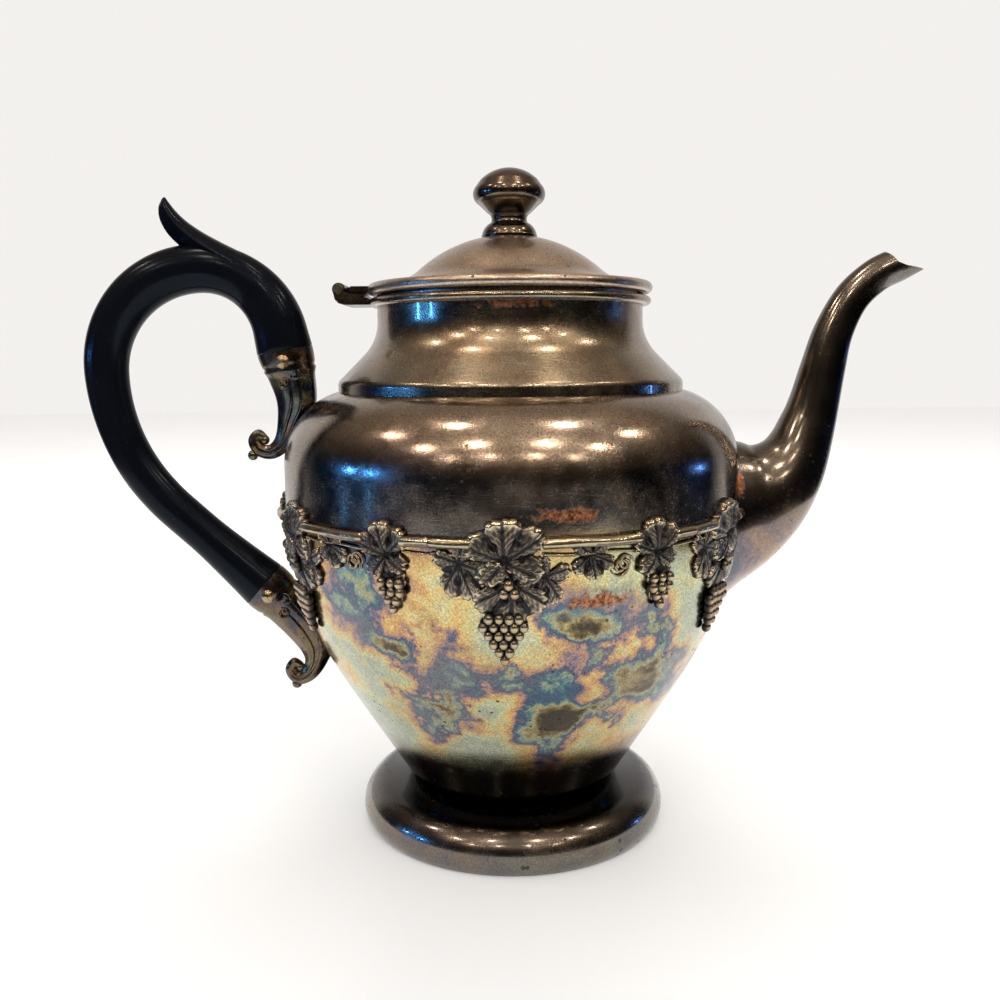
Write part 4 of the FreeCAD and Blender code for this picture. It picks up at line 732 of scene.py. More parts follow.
finialShape = {"shank": 1.9, "shankDrop": 7.0, "seatArc": 41.05, "collar": 8.3, "collarEdge": 0.9,
               "collarRise": 3.4, "waist": 5.6, "waistRise": 2.8, "cup": 9.4, "cupRise": 2.8, "knob": 10.0,
               "knobRise": 4.8, "knobArc": 3.4, "cap": 8.6, "capStep": 1.9, "capRise": 3.55,
               "collarEase": (0.15, 0.25), "cupEase": (0.35, 0.2), "capEase": (0.2, 0.3),  # aside, down
               "collarBend": 1.35, "waistBend": 0.68, "cupFoot": 0.7}


def makeFinial(domeZ):
    s = finialShape
    foot = domeZ + lidShape["dome"] - s["shankDrop"]
    seatZ = domeZ + math.sqrt(s["seatArc"] ** 2 - s["collar"] ** 2)
    edgeZ = seatZ + s["collarEdge"]
    waistZ = edgeZ + s["collarRise"]
    cupZ = waistZ + s["waistRise"]
    bandZ = cupZ + s["cupRise"]
    stepZ = bandZ + s["knobRise"]
    capZ = stepZ + s["capStep"]
    shankTop = domeZ + math.sqrt(s["seatArc"] ** 2 - s["shank"] ** 2)
    line = [(0, foot), (s["shank"], foot), (s["shank"], shankTop)]
    bendTo(line, s["collar"], seatZ, s["seatArc"], "right")
    aside, down = s["collarEase"]
    line += [(s["collar"], edgeZ - down), (s["collar"] - aside, edgeZ)]
    bendTo(line, s["waist"], waistZ, s["collarRise"] * s["collarBend"], "left")
    bendTo(line, s["waist"] + s["cupFoot"], cupZ, s["waistRise"] * s["waistBend"], "right")
    aside, down = s["cupEase"]
    line += [(s["cup"] - aside, bandZ - down), (s["cup"], bandZ)]
    bendTo(line, s["knob"], stepZ, s["knobArc"], "left")
    aside, down = s["capEase"]
    line += [(s["cap"] + aside, capZ - down), (s["cap"], capZ)]
    bendTo(line, 0, capZ + s["capRise"], (s["cap"] ** 2 + s["capRise"] ** 2) / (2 * s["capRise"]), "left")
    piece = finishMesh("turnedFinial", *spin(line, 128), finialSilver, 30)
    return seat(piece, "lid", "silver_plate", "finial")


makeBowl()
makeFoot()
makeNeck()
makeMouthWire()
makeFinial(makeLid())
print("teapot: turned pieces made")


# Spout.
spoutShape = {
    "reach": 56.5, "rise": 67.4, "baseHalf": 22.1, "tipHalf": 5.1, "wall": 1.1,
    "baseRound": 0.79, "tipRound": 0.88,
    "stations": (  # share of reach, share of rise, heading, share of taper
        (-0.145, -0.140, 0, 1.31), (0.030, -0.090, 0, 1.0), (0.158, -0.040, 10, 0.75),
        (0.273, 0.047, 23, 0.538), (0.349, 0.162, 40, 0.362), (0.398, 0.295, 60, 0.218),
        (0.432, 0.408, 73, 0.147), (0.476, 0.579, 78, 0.091), (0.524, 0.730, 68, 0.047),
        (0.612, 0.874, 52, 0.015), (0.733, 0.970, 35, 0.003), (0.855, 1.022, 25, 0.0),
        (0.990, 1.085, 28, 0.0)),
    "lip": ((0.68, 1.19), (0.777, 1.071), (0.800, 1.052), (0.822, 1.026), (0.870, 1.010), (1.020, 0.992),
            (1.150, 0.980), (1.150, 1.190)), "rows": 96, "steps": 72}


def spoutPoint(along, angle, inset):
    s = spoutShape
    out, up, heading, taper = through(s["stations"], along)
    half = s["tipHalf"] + (s["baseHalf"] - s["tipHalf"]) * taper
    wide = half * (s["tipRound"] + (s["baseRound"] - s["tipRound"]) * min(taper, 1)) - inset
    turn = math.radians(heading)
    across = (half - inset) * math.cos(angle)
    return (bowlShape["belly"] + s["reach"] * out - math.sin(turn) * across, wide * math.sin(angle),
            bowlShape["bellyZ"] + s["rise"] * up + math.cos(turn) * across)


def inLip(x, z):  # the part of the tip that is cut away
    s = spoutShape
    out, up = (x - bowlShape["belly"]) / s["reach"], (z - bowlShape["bellyZ"]) / s["rise"]
    inside = False
    corners = s["lip"]
    for (x1, y1), (x2, y2) in zip(corners, corners[1:] + corners[:1]):
        if (y1 > up) != (y2 > up) and out < (x2 - x1) * (up - y1) / (y2 - y1) + x1:
            inside = not inside
    return inside


def spoutEnds(angle, inset):  # where this line of the spout leaves the bowl and meets the lip
    def buried(along):
        x, y, z = spoutPoint(along, angle, inset)
        return math.hypot(x, y) < bowlRadius(z) + 0.05

    def gone(along):
        x, y, z = spoutPoint(along, angle, inset)
        return inLip(x, z)

    ends = []
    for test, low, high, step in ((buried, 3.0, 0.0, -0.05), (gone, 8.5, 12.0, 0.05)):
        spot = low
        while not test(spot) and (high - spot) * step > 0:
            spot += step
        clear, caught = spot - step, spot
        for _ in range(24):
            middle = (clear + caught) / 2
            clear, caught = (clear, middle) if test(middle) else (middle, caught)
        ends.append(clear)
    return ends


def makeSpout():
    s = spoutShape
    rings = {}
    for inset in (0.0, s["wall"]):
        lines = []
        for angle in circle(s["steps"]):
            first, last = spoutEnds(angle, inset)
            lines.append([spoutPoint(first + (last - first) * row / s["rows"], angle, inset)
                          for row in range(s["rows"] + 1)])
        rings[inset] = [[line[row] for line in lines] for row in range(s["rows"] + 1)]
    outer, inner = rings[0.0], rings[s["wall"]]
    lip = []
    for a, b, c in zip(outer[-1], inner[-1], outer[-3]):
        push = (Vector(a) - Vector(c)).normalized() * 0.3
        lip.append(tuple((Vector(a) + Vector(b)) / 2 + push))
    tube = outer + [lip] + inner[::-1]
    points, faces = skin(tube, False, False)
    count, last = s["steps"], (len(tube) - 1) * s["steps"]
    for step in range(count):
        after = (step + 1) % count
        faces.append((last + step, last + after, after, step))
    return seat(finishMesh("curvedSpout", points, faces, spoutSilver, 55), "pot", "silver_plate", "spout")


makeSpout()
print("teapot: spout made")


# Handle.
gripShape = {"top": (-68.1, 145.5), "topHeading": 101.3, "low": (-77.1, 73.3), "lowHeading": 319.0,
             "straight": 6.0, "crook": 23.3, "bow": 31.0, "half": 7.25, "slimHalf": 6.1, "topHalf": 8.4,
             "lowHalf": 7.9, "roundness": 0.88, "steps": 64,
             "topSwell": 0.16, "slimFrom": 0.28, "slimTo": 0.66,  # shares of the length from the upper socket
             "recentre": 0.75, "lowSwell": 0.86, "swellPower": 1.3, "easeLength": 0.4, "easeDepth": 0.35,
             "spur": (  # top line x and z, half width, drop to its edge, depth
                 (-101.9, 190.8, 0.9, 0.7, 1.5), (-100.9, 189.3, 2.1, 1.5, 4.0),
                 (-98.7, 186.5, 3.1, 2.1, 5.9), (-95.6, 183.6, 3.9, 2.7, 6.9),
                 (-91.0, 180.5, 4.7, 3.2, 7.4), (-85.7, 177.6, 5.3, 3.6, 7.6),
                 (-80.2, 174.8, 5.7, 3.9, 7.6), (-74.9, 171.6, 5.9, 4.0, 7.4),
                 (-69.9, 167.3, 5.8, 3.9, 7.0), (-66.2, 162.4, 5.4, 3.5, 6.4),
                 (-63.9, 157.4, 4.6, 2.8, 5.4), (-63.4, 153.0, 3.4, 1.8, 4.0))}


def gripLine():  # x, z, heading and length walked, from the upper socket round to the lower
    s = gripShape
    x, z = s["top"]
    heading, walked = s["topHeading"], 0.0
    rows = [(x, z, heading, walked)]

    def straight(distance, count):
        nonlocal x, z, walked
        for _ in range(count):
            x += distance / count * math.cos(math.radians(heading))
            z += distance / count * math.sin(math.radians(heading))
            walked += distance / count
            rows.append((x, z, heading, walked))

    def bend(radius, turn, count):
        nonlocal x, z, heading, walked
        for _ in range(count):
            before, after = math.radians(heading), math.radians(heading + turn / count)
            x += radius * (math.sin(after) - math.sin(before))
            z += radius * (math.cos(before) - math.cos(after))
            heading += turn / count
            walked += radius * math.radians(turn / count)
            rows.append((x, z, heading, walked))

    straight(s["straight"], 3)
    bend(s["crook"], 180 - s["topHeading"], 26)
    bend(s["bow"], 90, 32)
    endX, endZ = s["low"][0] - x, z - s["low"][1]
    turn = math.radians(s["lowHeading"] - 270)
    shift = 1 - math.cos(turn)
    sweep = (endZ * math.sin(turn) - endX * math.cos(turn)) / (math.sin(turn) ** 2 - shift * math.cos(turn))
    run = (endX - sweep * shift) / math.sin(turn)
    bend(sweep, math.degrees(turn), 26)
    straight(run, 10)
    return rows


def makeGrip():
    s = gripShape
    rows = gripLine()
    whole = rows[-1][3]
    rings = []
    for x, z, heading, walked in rows:
        share = walked / whole
        nearTop = max(0, 1 - share / s["topSwell"])
        nearEnd = max(0, (share - s["lowSwell"]) / (1 - s["lowSwell"]))
        passed = min(1, max(0, (share - s["slimFrom"]) / (s["slimTo"] - s["slimFrom"])))
        base = s["half"] + (s["slimHalf"] - s["half"]) * passed * passed * (3 - 2 * passed)
        upperSwell = (s["topHalf"] - s["half"]) * nearTop ** s["swellPower"]
        half = base + upperSwell + (s["lowHalf"] - base) * nearEnd ** s["swellPower"]
        inward = (s["half"] - base) * min(1, (1 - share) / (1 - s["recentre"]))  # finger side kept
        side = math.radians(heading + 90)
        x += inward * math.cos(side)
        z += inward * math.sin(side)
        rings.append(oval(x, z, heading, half, s["roundness"], s["steps"]))
    for index, nextIndex in ((0, 1), (-1, -2)):  # eased edges at both ends
        x, z, heading = rows[index][:3]
        nearX, nearZ = rows[nextIndex][:2]
        reach = math.hypot(nearX - x, nearZ - z)
        half = s["topHalf"] if index == 0 else s["lowHalf"]
        small = oval(x, z, heading, half - s["easeDepth"], s["roundness"], s["steps"])
        edgeX = x + (nearX - x) * s["easeLength"] / reach
        edgeZ = z + (nearZ - z) * s["easeLength"] / reach
        edge = oval(edgeX, edgeZ, heading, half, s["roundness"], s["steps"])
        rings[index:index + 1 if index == 0 else None] = [small, edge] if index == 0 else [edge, small]
    piece = finishMesh("gripBow", *skin(rings), gripBlack, 50)
    trim(piece, makeSpur(), "UNION")
    piece.data.shade_smooth()
    piece.data.set_sharp_from_angle(angle=math.radians(42))
    return seat(piece, "pot", "black_grip", "handle_grip")


def makeSpur():
    line = gripShape["spur"]
    rings = []
    count = 8 * (len(line) - 1)
    for step in range(count + 1):
        spot = step * (len(line) - 1) / count
        x, z, wide, drop, depth = through(line, spot)
        aheadX, aheadZ = through(line, spot + 0.05)[:2]
        behindX, behindZ = through(line, spot - 0.05)[:2]
        reach = math.hypot(aheadX - behindX, aheadZ - behindZ)
        inX, inZ = (aheadZ - behindZ) / reach, -(aheadX - behindX) / reach  # towards the grip
        ring = []
        for turn in range(16):  # rounded back, edge to edge
            angle = math.pi * (turn / 15 - 0.5)
            ring.append((wide * math.sin(angle), drop * (1 - math.cos(angle))))
        for turn in range(1, 12):  # hollow underside
            share = turn / 12
            lean = abs(1 - 2 * share)
            across = wide * (1 - 2 * share) * (0.45 + 0.55 * lean)
            ring.append((across, drop + (depth - drop) * (1 - lean ** 1.6)))
        rings.append([(x + inX * deep, side, z + inZ * deep) for side, deep in ring])
    return finishMesh("thumbSpur", *skin(rings), gripBlack, 50)


socketShape = {
    "roundness": 0.85, "steps": 48, "perStation": 9, "scrollWire": 0.55, "flutes": 8, "fluteDepth": 0.05,
    "collarEnd": 0.66, "beadEnd": 0.92,  # counted in stations
    "scrolls": ((1.05, 6.6, 62, 84), (1.35, 5.6, 92, 108)),  # from and to, counted in stations and degrees
    "upper": {"stations": ((0.0, 44.5, 281.3, 8.5), (-1.7, 37.2, 276, 7.6), (-2.9, 29.2, 266, 6.4),
                           (-0.8, 22.4, 256, 4.2), (1.6, 16.8, 234, 3.1), (5.2, 14.0, 192, 2.5),
                           (8.9, 14.6, 145, 2.2), (10.4, 17.4, 88, 2.0), (8.9, 19.3, 15, 1.75),
                           (7.3, 18.0, -65, 1.4)),
              "drop": (-79.1, 113.9, 1.6), "eye": (-75.3, 118.6, 1.5)},
    "lower": {"stations": ((9.0, -27.7, -41, 8.1), (2.9, -33.4, -46, 7.5), (-3.1, -40.0, -58, 7.2),
                           (-6.8, -46.7, -76, 6.2), (-6.2, -52.5, -102, 3.8), (-3.5, -56.6, -138, 2.8),
                           (-0.2, -57.8, -190, 2.3), (1.8, -55.2, -258, 2.0), (0.5, -52.9, -330, 1.75),
                           (-1.2, -54.0, -410, 1.4)),
              "drop": (-68.2, 41.3, 1.6), "eye": (-66.9, 46.6, 1.5)}}


def offBowl(spot, gap=0.05):
    x, y, z = spot
    radius = math.hypot(x, y)
    least = bowlRadius(z) + gap
    if z > bowlShape["ledgeZ"] or radius >= least:
        return spot
    return (x * least / radius, y * least / radius, z)


def makeSocket(name, which, cadNode):
    s = socketShape
    stations = s[which]["stations"]
    count = s["perStation"] * (len(stations) - 1)

    def row(spot):
        out, up, heading, half = through(stations, spot)
        return -(bowlShape["belly"] + out), bowlShape["bellyZ"] + up, heading, half

    def girth(spot):  # collar, its bead, then the slimmer body
        if spot < s["collarEnd"]:
            return 0.985 + 0.02 * math.sin(math.pi * spot / s["collarEnd"])
        if spot < s["beadEnd"]:
            beadShare = (spot - s["collarEnd"]) / (s["beadEnd"] - s["collarEnd"])
            return 0.95 + 0.06 * math.sin(math.pi * beadShare)
        return 0.95

    def surface(spot, angle, lift):
        x, z, heading, half = row(spot)
        turn = math.radians(heading)
        size = half * girth(spot)
        across = (size + lift) * math.cos(angle)
        aside = (size * s["roundness"] + lift) * math.sin(angle)
        return (x - math.sin(turn) * across, aside, z + math.cos(turn) * across)

    def fluted(spot):  # plain collar, then flutes that deepen over half a station
        depth = s["fluteDepth"] * min(max((spot - 0.9) / 0.5, 0), 1)
        return lambda angle: girth(spot) * (1 - depth * (0.5 + 0.5 * math.cos(s["flutes"] * angle)))

    rings = []
    for step in range(count + 1):
        spot = step * (len(stations) - 1) / count
        ring = oval(*row(spot), s["roundness"], s["steps"], fluted(spot))
        rings.append([offBowl(point) for point in ring])
    shells = [skin(rings)]
    for side in (1, -1):
        for first, last, start, stop in s["scrolls"]:  # paired scroll wires
            path = []
            for step in range(60):
                share = step / 59
                angle = math.radians(start + (stop - start) * share) * side
                path.append(surface(first + (last - first) * share, angle, 0.1))
            eye = Vector(path[0])
            curl = []
            for step in range(26):  # little volute where the wire begins
                turn = step / 25 * 2 * math.pi * 1.3
                size = 0.4 + 1.5 * step / 25
                offset = Vector((math.cos(turn) * size - 1.4, side * 0.2, math.sin(turn) * size + 0.2))
                curl.append(tuple(eye + offset))
            shells.append(wire([offBowl(p, 0.4) for p in path], s["scrollWire"]))
            shells.append(wire(curl, s["scrollWire"] * 0.85))
    for x, z, size in (s[which]["drop"], s[which]["eye"]):  # hanging bead, and the middle of the scroll
        shells.append(ball((x, 0, z), size, (1, 0.9, 1)))
    return seat(finishMesh(name, *gather(*shells), socketSilver, 50), "pot", "cast_silver", cadNode)


makeGrip()
makeSocket("upperSocketCasting", "upper", "upper_handle_socket")
makeSocket("lowerSocketCasting", "lower", "lower_handle_socket")
print("teapot: handle made")


# Vine band round the belly, six castings.
vineShape = {
    "stemZ": 98.5, "stemRadius": 1.25, "gap": 0.05, "grape": 1.3, "pitch": 2.58, "rows": 20, "spokes": 160,
    "turnStep": 60, "turnStart": -91.5,  # degrees, where each casting sits
    "stemRuns": ((-15.9, -7.4), (7.2, 28.4), (37.6, 43.9)), "ends": (-15.9, 43.9),
    "beforeSpout": 13.0, "afterSpout": -11.0,  # degrees, shortened ends beside the spout
    "tendril": (-2.9, 0.42, 0.2, 8),  # up from the stem, radius, wave, steps round
    "clusterBunches": ((-1.0, -18.8, (4, 5, 4, 3, 2, 1), 0.0), (0.4, -10.0, (1, 2), 0.15)),
    "mediumBunch": (2.0, -10.9, (3, 3, 2, 1)), "smallTurn": 18, "mediumTurn": 33,
    "smallCurl": (7.5, -7.0, 2.6, 1.6), "mediumCurl": (-9.0, -6.0, 2.2, 1.4),  # across, up, size, turns
    "spoutRoom": (95.0, 23.2, 18.6),  # middle height, half height and half width kept clear of the spout
    "cluster": (  # across, up from the stem, width, height, lean, relief, lobes, rolled edge
        (-11.6, -7.3, 13.5, 17.0, 205, 1.3, 5, 0.3), (9.2, -10.3, 12.5, 15.0, 155, 1.3, 5, 0.3),
        (0.6, -12.4, 21.0, 18.0, 180, 1.7, 5, 0.35), (-0.2, -1.8, 22.5, 18.0, 8, 2.2, 5, 0.7)),
    "medium": ((1.8, -11.2, 9.0, 13.5, 180, 0.9, 3, 0.1), (0.0, -2.2, 16.0, 15.5, 10, 2.2, 5, 0.6)),
    "small": ((0.0, -4.6, 12.5, 11.5, 186, 1.7, 5, 0.45),)}


def onBelly(across, height, lift):  # across is measured along the belly, at azimuth 0
    slope = bowlRadius(height + 0.4) - bowlRadius(height - 0.4)
    size = math.hypot(0.8, slope)
    radius = bowlRadius(height) + lift * 0.8 / size
    angle = across / bowlShape["belly"]
    return radius * math.cos(angle), radius * math.sin(angle), height - lift * slope / size


def vineLeaf(across, up, width, tall, lean, relief, lobes, roll, seed):
    v = vineShape
    dice = random.Random(seed)
    tilt = math.radians(lean)
    middle = (dice.uniform(-0.08, 0.08) * width, -0.14 * tall)
    phases = [dice.uniform(0, 6.28) for _ in range(4)]
    pits = [(0.5 + dice.uniform(-0.08, 0.1), (0.5 + lobe) * 2 * math.pi / lobes + dice.uniform(-0.2, 0.2))
            for lobe in (0, 1, lobes - 1)][:3 if width > 11 else 2]

    def rim(angle):  # broad above the middle, deeper notches and teeth below it
        below = 0.5 - 0.5 * math.cos(angle)
        square = (abs(math.sin(angle)) ** 2.8 + abs(math.cos(angle)) ** 2.8) ** (-1 / 2.8)
        notch = (0.5 - 0.5 * math.cos(lobes * angle)) ** 3
        edge = square * 0.92 * (1 - (0.15 + 0.3 * below) * notch * (1.35 if width < 13 else 1))
        tooth = abs(math.sin(lobes * 2.5 * angle + phases[0])) ** 0.7
        edge *= 0.9 + (0.06 + 0.1 * below) * tooth + 0.02 * math.sin(2 * angle + phases[1])
        return width / 2 * edge * math.sin(angle), tall / 2 * edge * math.cos(angle)

    def flat(t, angle):
        edgeX, edgeY = rim(angle)
        return middle[0] + (edgeX - middle[0]) * t, middle[1] + (edgeY - middle[1]) * t

    pitSpots = [flat(t, angle) for t, angle in pits]
    points, lift = [], []
    for row in range(v["rows"] + 2):
        t = min(row / v["rows"], 1)
        for angle in circle(v["spokes"]):
            x, y = flat(t, angle)
            lobePhase = lobes * angle / (2 * math.pi)
            fromRib = (lobePhase + 0.5) % 1 - 0.5  # 0 on a lobe's rib, half at the notch
            crown = math.sin(math.pi * min(t * 0.92 + 0.04, 1)) ** 0.7
            high = relief * (0.5 + 0.42 * crown * (1 - 1.5 * abs(fromRib)))
            high += relief * 0.13 * math.sin(2 * angle + phases[2]) * t
            rib = math.exp(-(fromRib * max(t, 0.12) / 0.035) ** 2)
            cleft = math.exp(-((0.5 - abs(fromRib)) / 0.09) ** 2) * t
            side = 0.5 + 0.5 * math.cos(2 * math.pi * (t * 5.5 - abs(fromRib) * 5) + phases[3])  # side veins
            high -= relief * (0.2 * rib + 0.3 * cleft + 0.09 * side * t * (1 - t) * 4)
            comb = math.sin(angle * 41 + 9 * t + phases[1]) * min(t * 2, 1)
            high += 0.02 * relief * comb
            high -= relief * 0.55 * math.exp(-(t / 0.13) ** 2)
            curl = roll * (0.6 + 0.4 * math.cos(angle + tilt)) * math.exp(-((t - 0.9) / 0.075) ** 2)
            high += curl
            if t > 0.97:
                high *= 0.72
            pit = sum(math.exp(-((x - px) ** 2 + (y - py) ** 2) / 0.75 ** 2) for px, py in pitSpots)
            brim = math.exp(-((t - 0.93) / 0.06) ** 2)
            shine = 0.36 + 0.36 * high / relief + 0.34 * brim + 0.35 * curl + 0.08 * comb
            shine -= 0.5 * rib + 0.6 * cleft + 0.24 * side
            high = min(max(high - 1.3 * pit, 0.15), 2.55)
            if row > v["rows"]:
                high, shine = 0.03, 0.0
            spotX = x * math.cos(tilt) - y * math.sin(tilt)
            spotY = x * math.sin(tilt) + y * math.cos(tilt)
            points.append(onBelly(across + spotX, v["stemZ"] + up + spotY, high))
            lift.append(max(min(shine - 0.9 * pit, 1), 0))
    rings = [points[row * v["spokes"]:(row + 1) * v["spokes"]] for row in range(v["rows"] + 2)]
    shell = skin(rings[1:], True, True)
    return shell, lift[v["spokes"]:] + [0.05, 0.0]


def vineBunch(across, up, rows, proud, seed):  # grapes to a row, top row first
    v = vineShape
    dice = random.Random(seed)
    shells, lift = [], []
    for row, count in enumerate(rows):
        height = v["stemZ"] + up - row * v["pitch"] * 0.87
        for spot in range(count):
            aside = across + (spot - (count - 1) / 2) * v["pitch"] + dice.uniform(-0.15, 0.15)
            size = v["grape"] * dice.uniform(0.94, 1.08)
            seatLift = size * 0.95 + dice.uniform(0, 0.25) + proud
            grape = ball((0, 0, 0), size, (1, 1, 1.08), 9, 14)
            placed = [onBelly(aside + y, height + z, seatLift + x) for x, y, z in grape[0]]
            shells.append((placed, grape[1]))
            lift.extend(max(min((x / size + 0.3) / 1.5, 1), 0) for x, y, z in grape[0])
    return gather(*shells), lift


def vineTwig(start, stop, up, radius, wave, seed, steps=16):  # stem or tendril, degrees round the belly
    dice = random.Random(seed)
    phases = [dice.uniform(0, 6.28) for _ in range(3)]
    count = max(int((stop - start) * 2.2), 8)
    rings, lift = [], []
    for row in range(count + 1):
        share = row / count
        across = math.radians(start + (stop - start) * share) * bowlShape["belly"]
        middle = vineShape["stemZ"] + up + wave * math.sin(across * 0.33 + phases[0])
        knot = 1 + 0.05 * max(math.sin(across * 0.42 + phases[1]), 0) ** 6
        ends = min(1, 0.9 + 3 * min(share, 1 - share) * count / 12)
        ring = []
        for angle in circle(steps):
            bark = 1 + 0.05 * math.sin(5 * angle + across * 0.25) + 0.03 * math.sin(9 * angle + phases[2])
            size = radius * knot * bark * ends
            lifted = radius + vineShape["gap"] + size * math.cos(angle)
            ring.append(onBelly(across, middle + size * math.sin(angle), lifted))
            lift.append(max(min(0.5 + 0.42 * math.cos(angle - 0.5) - (0.25 if bark < 0.97 else 0), 1), 0))
        rings.append(ring)
    return skin(rings), lift + [0.2, 0.2]


def vineCurl(across, up, size, turns, seed):  # small wound tendril
    dice = random.Random(seed)
    start = dice.uniform(0, 6.28)
    path = []
    for step in range(36):
        share = step / 35
        turn = start + turns * 2 * math.pi * share
        radius = size * (1 - 0.78 * share)
        height = vineShape["stemZ"] + up + radius * math.sin(turn)
        path.append(onBelly(across + radius * math.cos(turn), height, 0.5))
    shell = wire(path, 0.42)
    return shell, [0.7] * len(shell[0])


def clearOfSpout(spot):
    middle, tall, wide = vineShape["spoutRoom"]
    x, y, z = spot
    rise = (z - middle) / tall
    if x < 0 or abs(rise) >= 1:
        return spot
    radius = math.hypot(x, y)
    least = wide * math.sqrt(1 - rise * rise) / radius
    angle = math.atan2(y, x)
    if abs(angle) >= least:
        return spot
    angle = math.copysign(least, angle)
    return radius * math.cos(angle), radius * math.sin(angle), z


def makeVineSection(index):
    v = vineShape
    azimuth = math.radians(v["turnStep"] * index + v["turnStart"])
    seed = 100 * index
    parts = []

    def spray(leaves, degrees, count):
        shift = math.radians(degrees) * bowlShape["belly"]
        for number, (across, *rest) in enumerate(leaves):
            parts.append(vineLeaf(across + shift, *rest, seed + count + number))
        return shift

    spray(v["cluster"], 0, 1)
    for number, bunch in enumerate(v["clusterBunches"]):
        parts.append(vineBunch(*bunch, seed + 20 + number))
    start, stop = v["ends"]
    if index == 1:
        stop = v["beforeSpout"]
    if index == 2:
        start = v["afterSpout"]
    if index != 1:
        shift = spray(v["small"], v["smallTurn"], 6)
        across, *rest = v["smallCurl"]
        parts.append(vineCurl(shift + across, *rest, seed + 30))
        shift = spray(v["medium"], v["mediumTurn"], 8)
        across, *rest = v["mediumBunch"]
        parts.append(vineBunch(shift + across, *rest, 0.0, seed + 22))
        across, *rest = v["mediumCurl"]
        parts.append(vineCurl(shift + across, *rest, seed + 31))
    tendrilUp, tendrilRadius, tendrilWave, tendrilSteps = v["tendril"]
    for number, (first, last) in enumerate(v["stemRuns"]):  # the big leaves hide the rest
        if last > start and first < stop:
            first, last = max(first, start), min(last, stop)
            parts.append(vineTwig(first, last, 0.0, v["stemRadius"], 0.1, seed + 40 + number))
            parts.append(vineTwig(first, last, tendrilUp, tendrilRadius, tendrilWave, seed + 45 + number,
                                  tendrilSteps))
    cosine, sine = math.cos(azimuth), math.sin(azimuth)
    shells, lift = [], []
    for (points, faces), shine in parts:
        turned = [clearOfSpout((x * cosine - y * sine, x * sine + y * cosine, z)) for x, y, z in points]
        shells.append((turned, faces))
        lift.extend(shine)
    points, faces = gather(*shells)
    piece = finishMesh(f"vineCasting{index + 1}", points, faces, vineSilver, 60, lift)
    return seat(piece, "pot", "vine_silver", f"vine_section_{index + 1}")


for section in range(6):
    makeVineSection(section)
print("teapot: vine band made")


# Hinge seat on the mouth rim, two cheeks and the block between them.
hingeShape = {"pin": (-50.0, 163.107), "knuckle": 1.9, "inner": 3.15, "outer": 9.15, "lap": 0.5,
              "round": 0.35, "blockRound": 0.1,  # corners below are x and z
              "shelf": ((-41.2, 158.607), (-41.2, 160.4), (-42.5, 160.7), (-42.5, 161.75), (-46.4, 161.75)),
              "foot": ((-50.2, 159.1), (-48.6, 158.607)), "cheekFront": (-47.7, 162.25),
              "cheekBack": (-51.2, 160.2), "blockTop": ((-47.4, 160.85), (-50.6, 160.85))}


def slab(profile, low, high, edge):  # flat shape in the XZ plane given a thickness along Y, edges eased
    middleX = sum(x for x, z in profile) / len(profile)
    middleZ = sum(z for x, z in profile) / len(profile)
    rings = []
    for y, inset in ((low, edge), (low + edge, 0), (high - edge, 0), (high, edge)):
        ring = []
        for x, z in profile:
            reach = math.hypot(x - middleX, z - middleZ)
            keep = 1 - inset / reach
            ring.append((middleX + (x - middleX) * keep, y, middleZ + (z - middleZ) * keep))
        rings.append(ring)
    return skin(rings)


def makeHingeSeat():
    s = hingeShape
    pinX, pinZ = s["pin"]
    cheek = [*s["shelf"], s["cheekFront"]]
    for step in range(17):  # over the knuckle and down its back
        angle = math.radians(-20 + 230 * step / 16)
        cheek.append((pinX + s["knuckle"] * math.cos(angle), pinZ + s["knuckle"] * math.sin(angle)))
    cheek += [s["cheekBack"], *s["foot"]]
    block = [*s["shelf"], *s["blockTop"], *s["foot"]]
    shells = [slab(block, -s["inner"] - s["lap"], s["inner"] + s["lap"], s["blockRound"])]
    for low, high in ((-s["outer"], -s["inner"]), (s["inner"], s["outer"])):
        shells.append(slab(cheek, low, high, s["round"]))
    piece = finishMesh("hingeSeat", *gather(*shells), socketSilver, 40)
    return seat(piece, "pot", "cast_silver", "hinge_pot_leaf")


makeHingeSeat()
print("teapot: hinge seat made")


# Small fittings that keep their solids.
fittings = {"lid_bezel": lidSilver, "hinge_lid_leaf": socketSilver, "hinge_pin": pinSilver,
            "upper_handle_pin": pinSilver, "lower_handle_pin": pinSilver,
            "finial_washer": pinSilver, "finial_nut": pinSilver}
for name, material in fittings.items():
    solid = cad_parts[name]
    solid.data.materials.clear()
    solid.data.materials.append(material)
    solid.data.shade_smooth()
    solid.data.set_sharp_from_angle(angle=math.radians(30))
print("teapot: fittings finished")


# Stage, light and camera.
tableShape = {"colour": (0.88, 0.87, 0.86), "shade": (0.84, 0.83, 0.82), "glow": 0.16,
              "sheets": (  # left, right, front, back, height, seen in the silver
                  ("paleTable", -0.36, 0.36, -0.42, 0.7, 0.0, True),
                  ("paleFloor", -2.4, 2.4, -2.4, 2.4, -0.0004, False))}


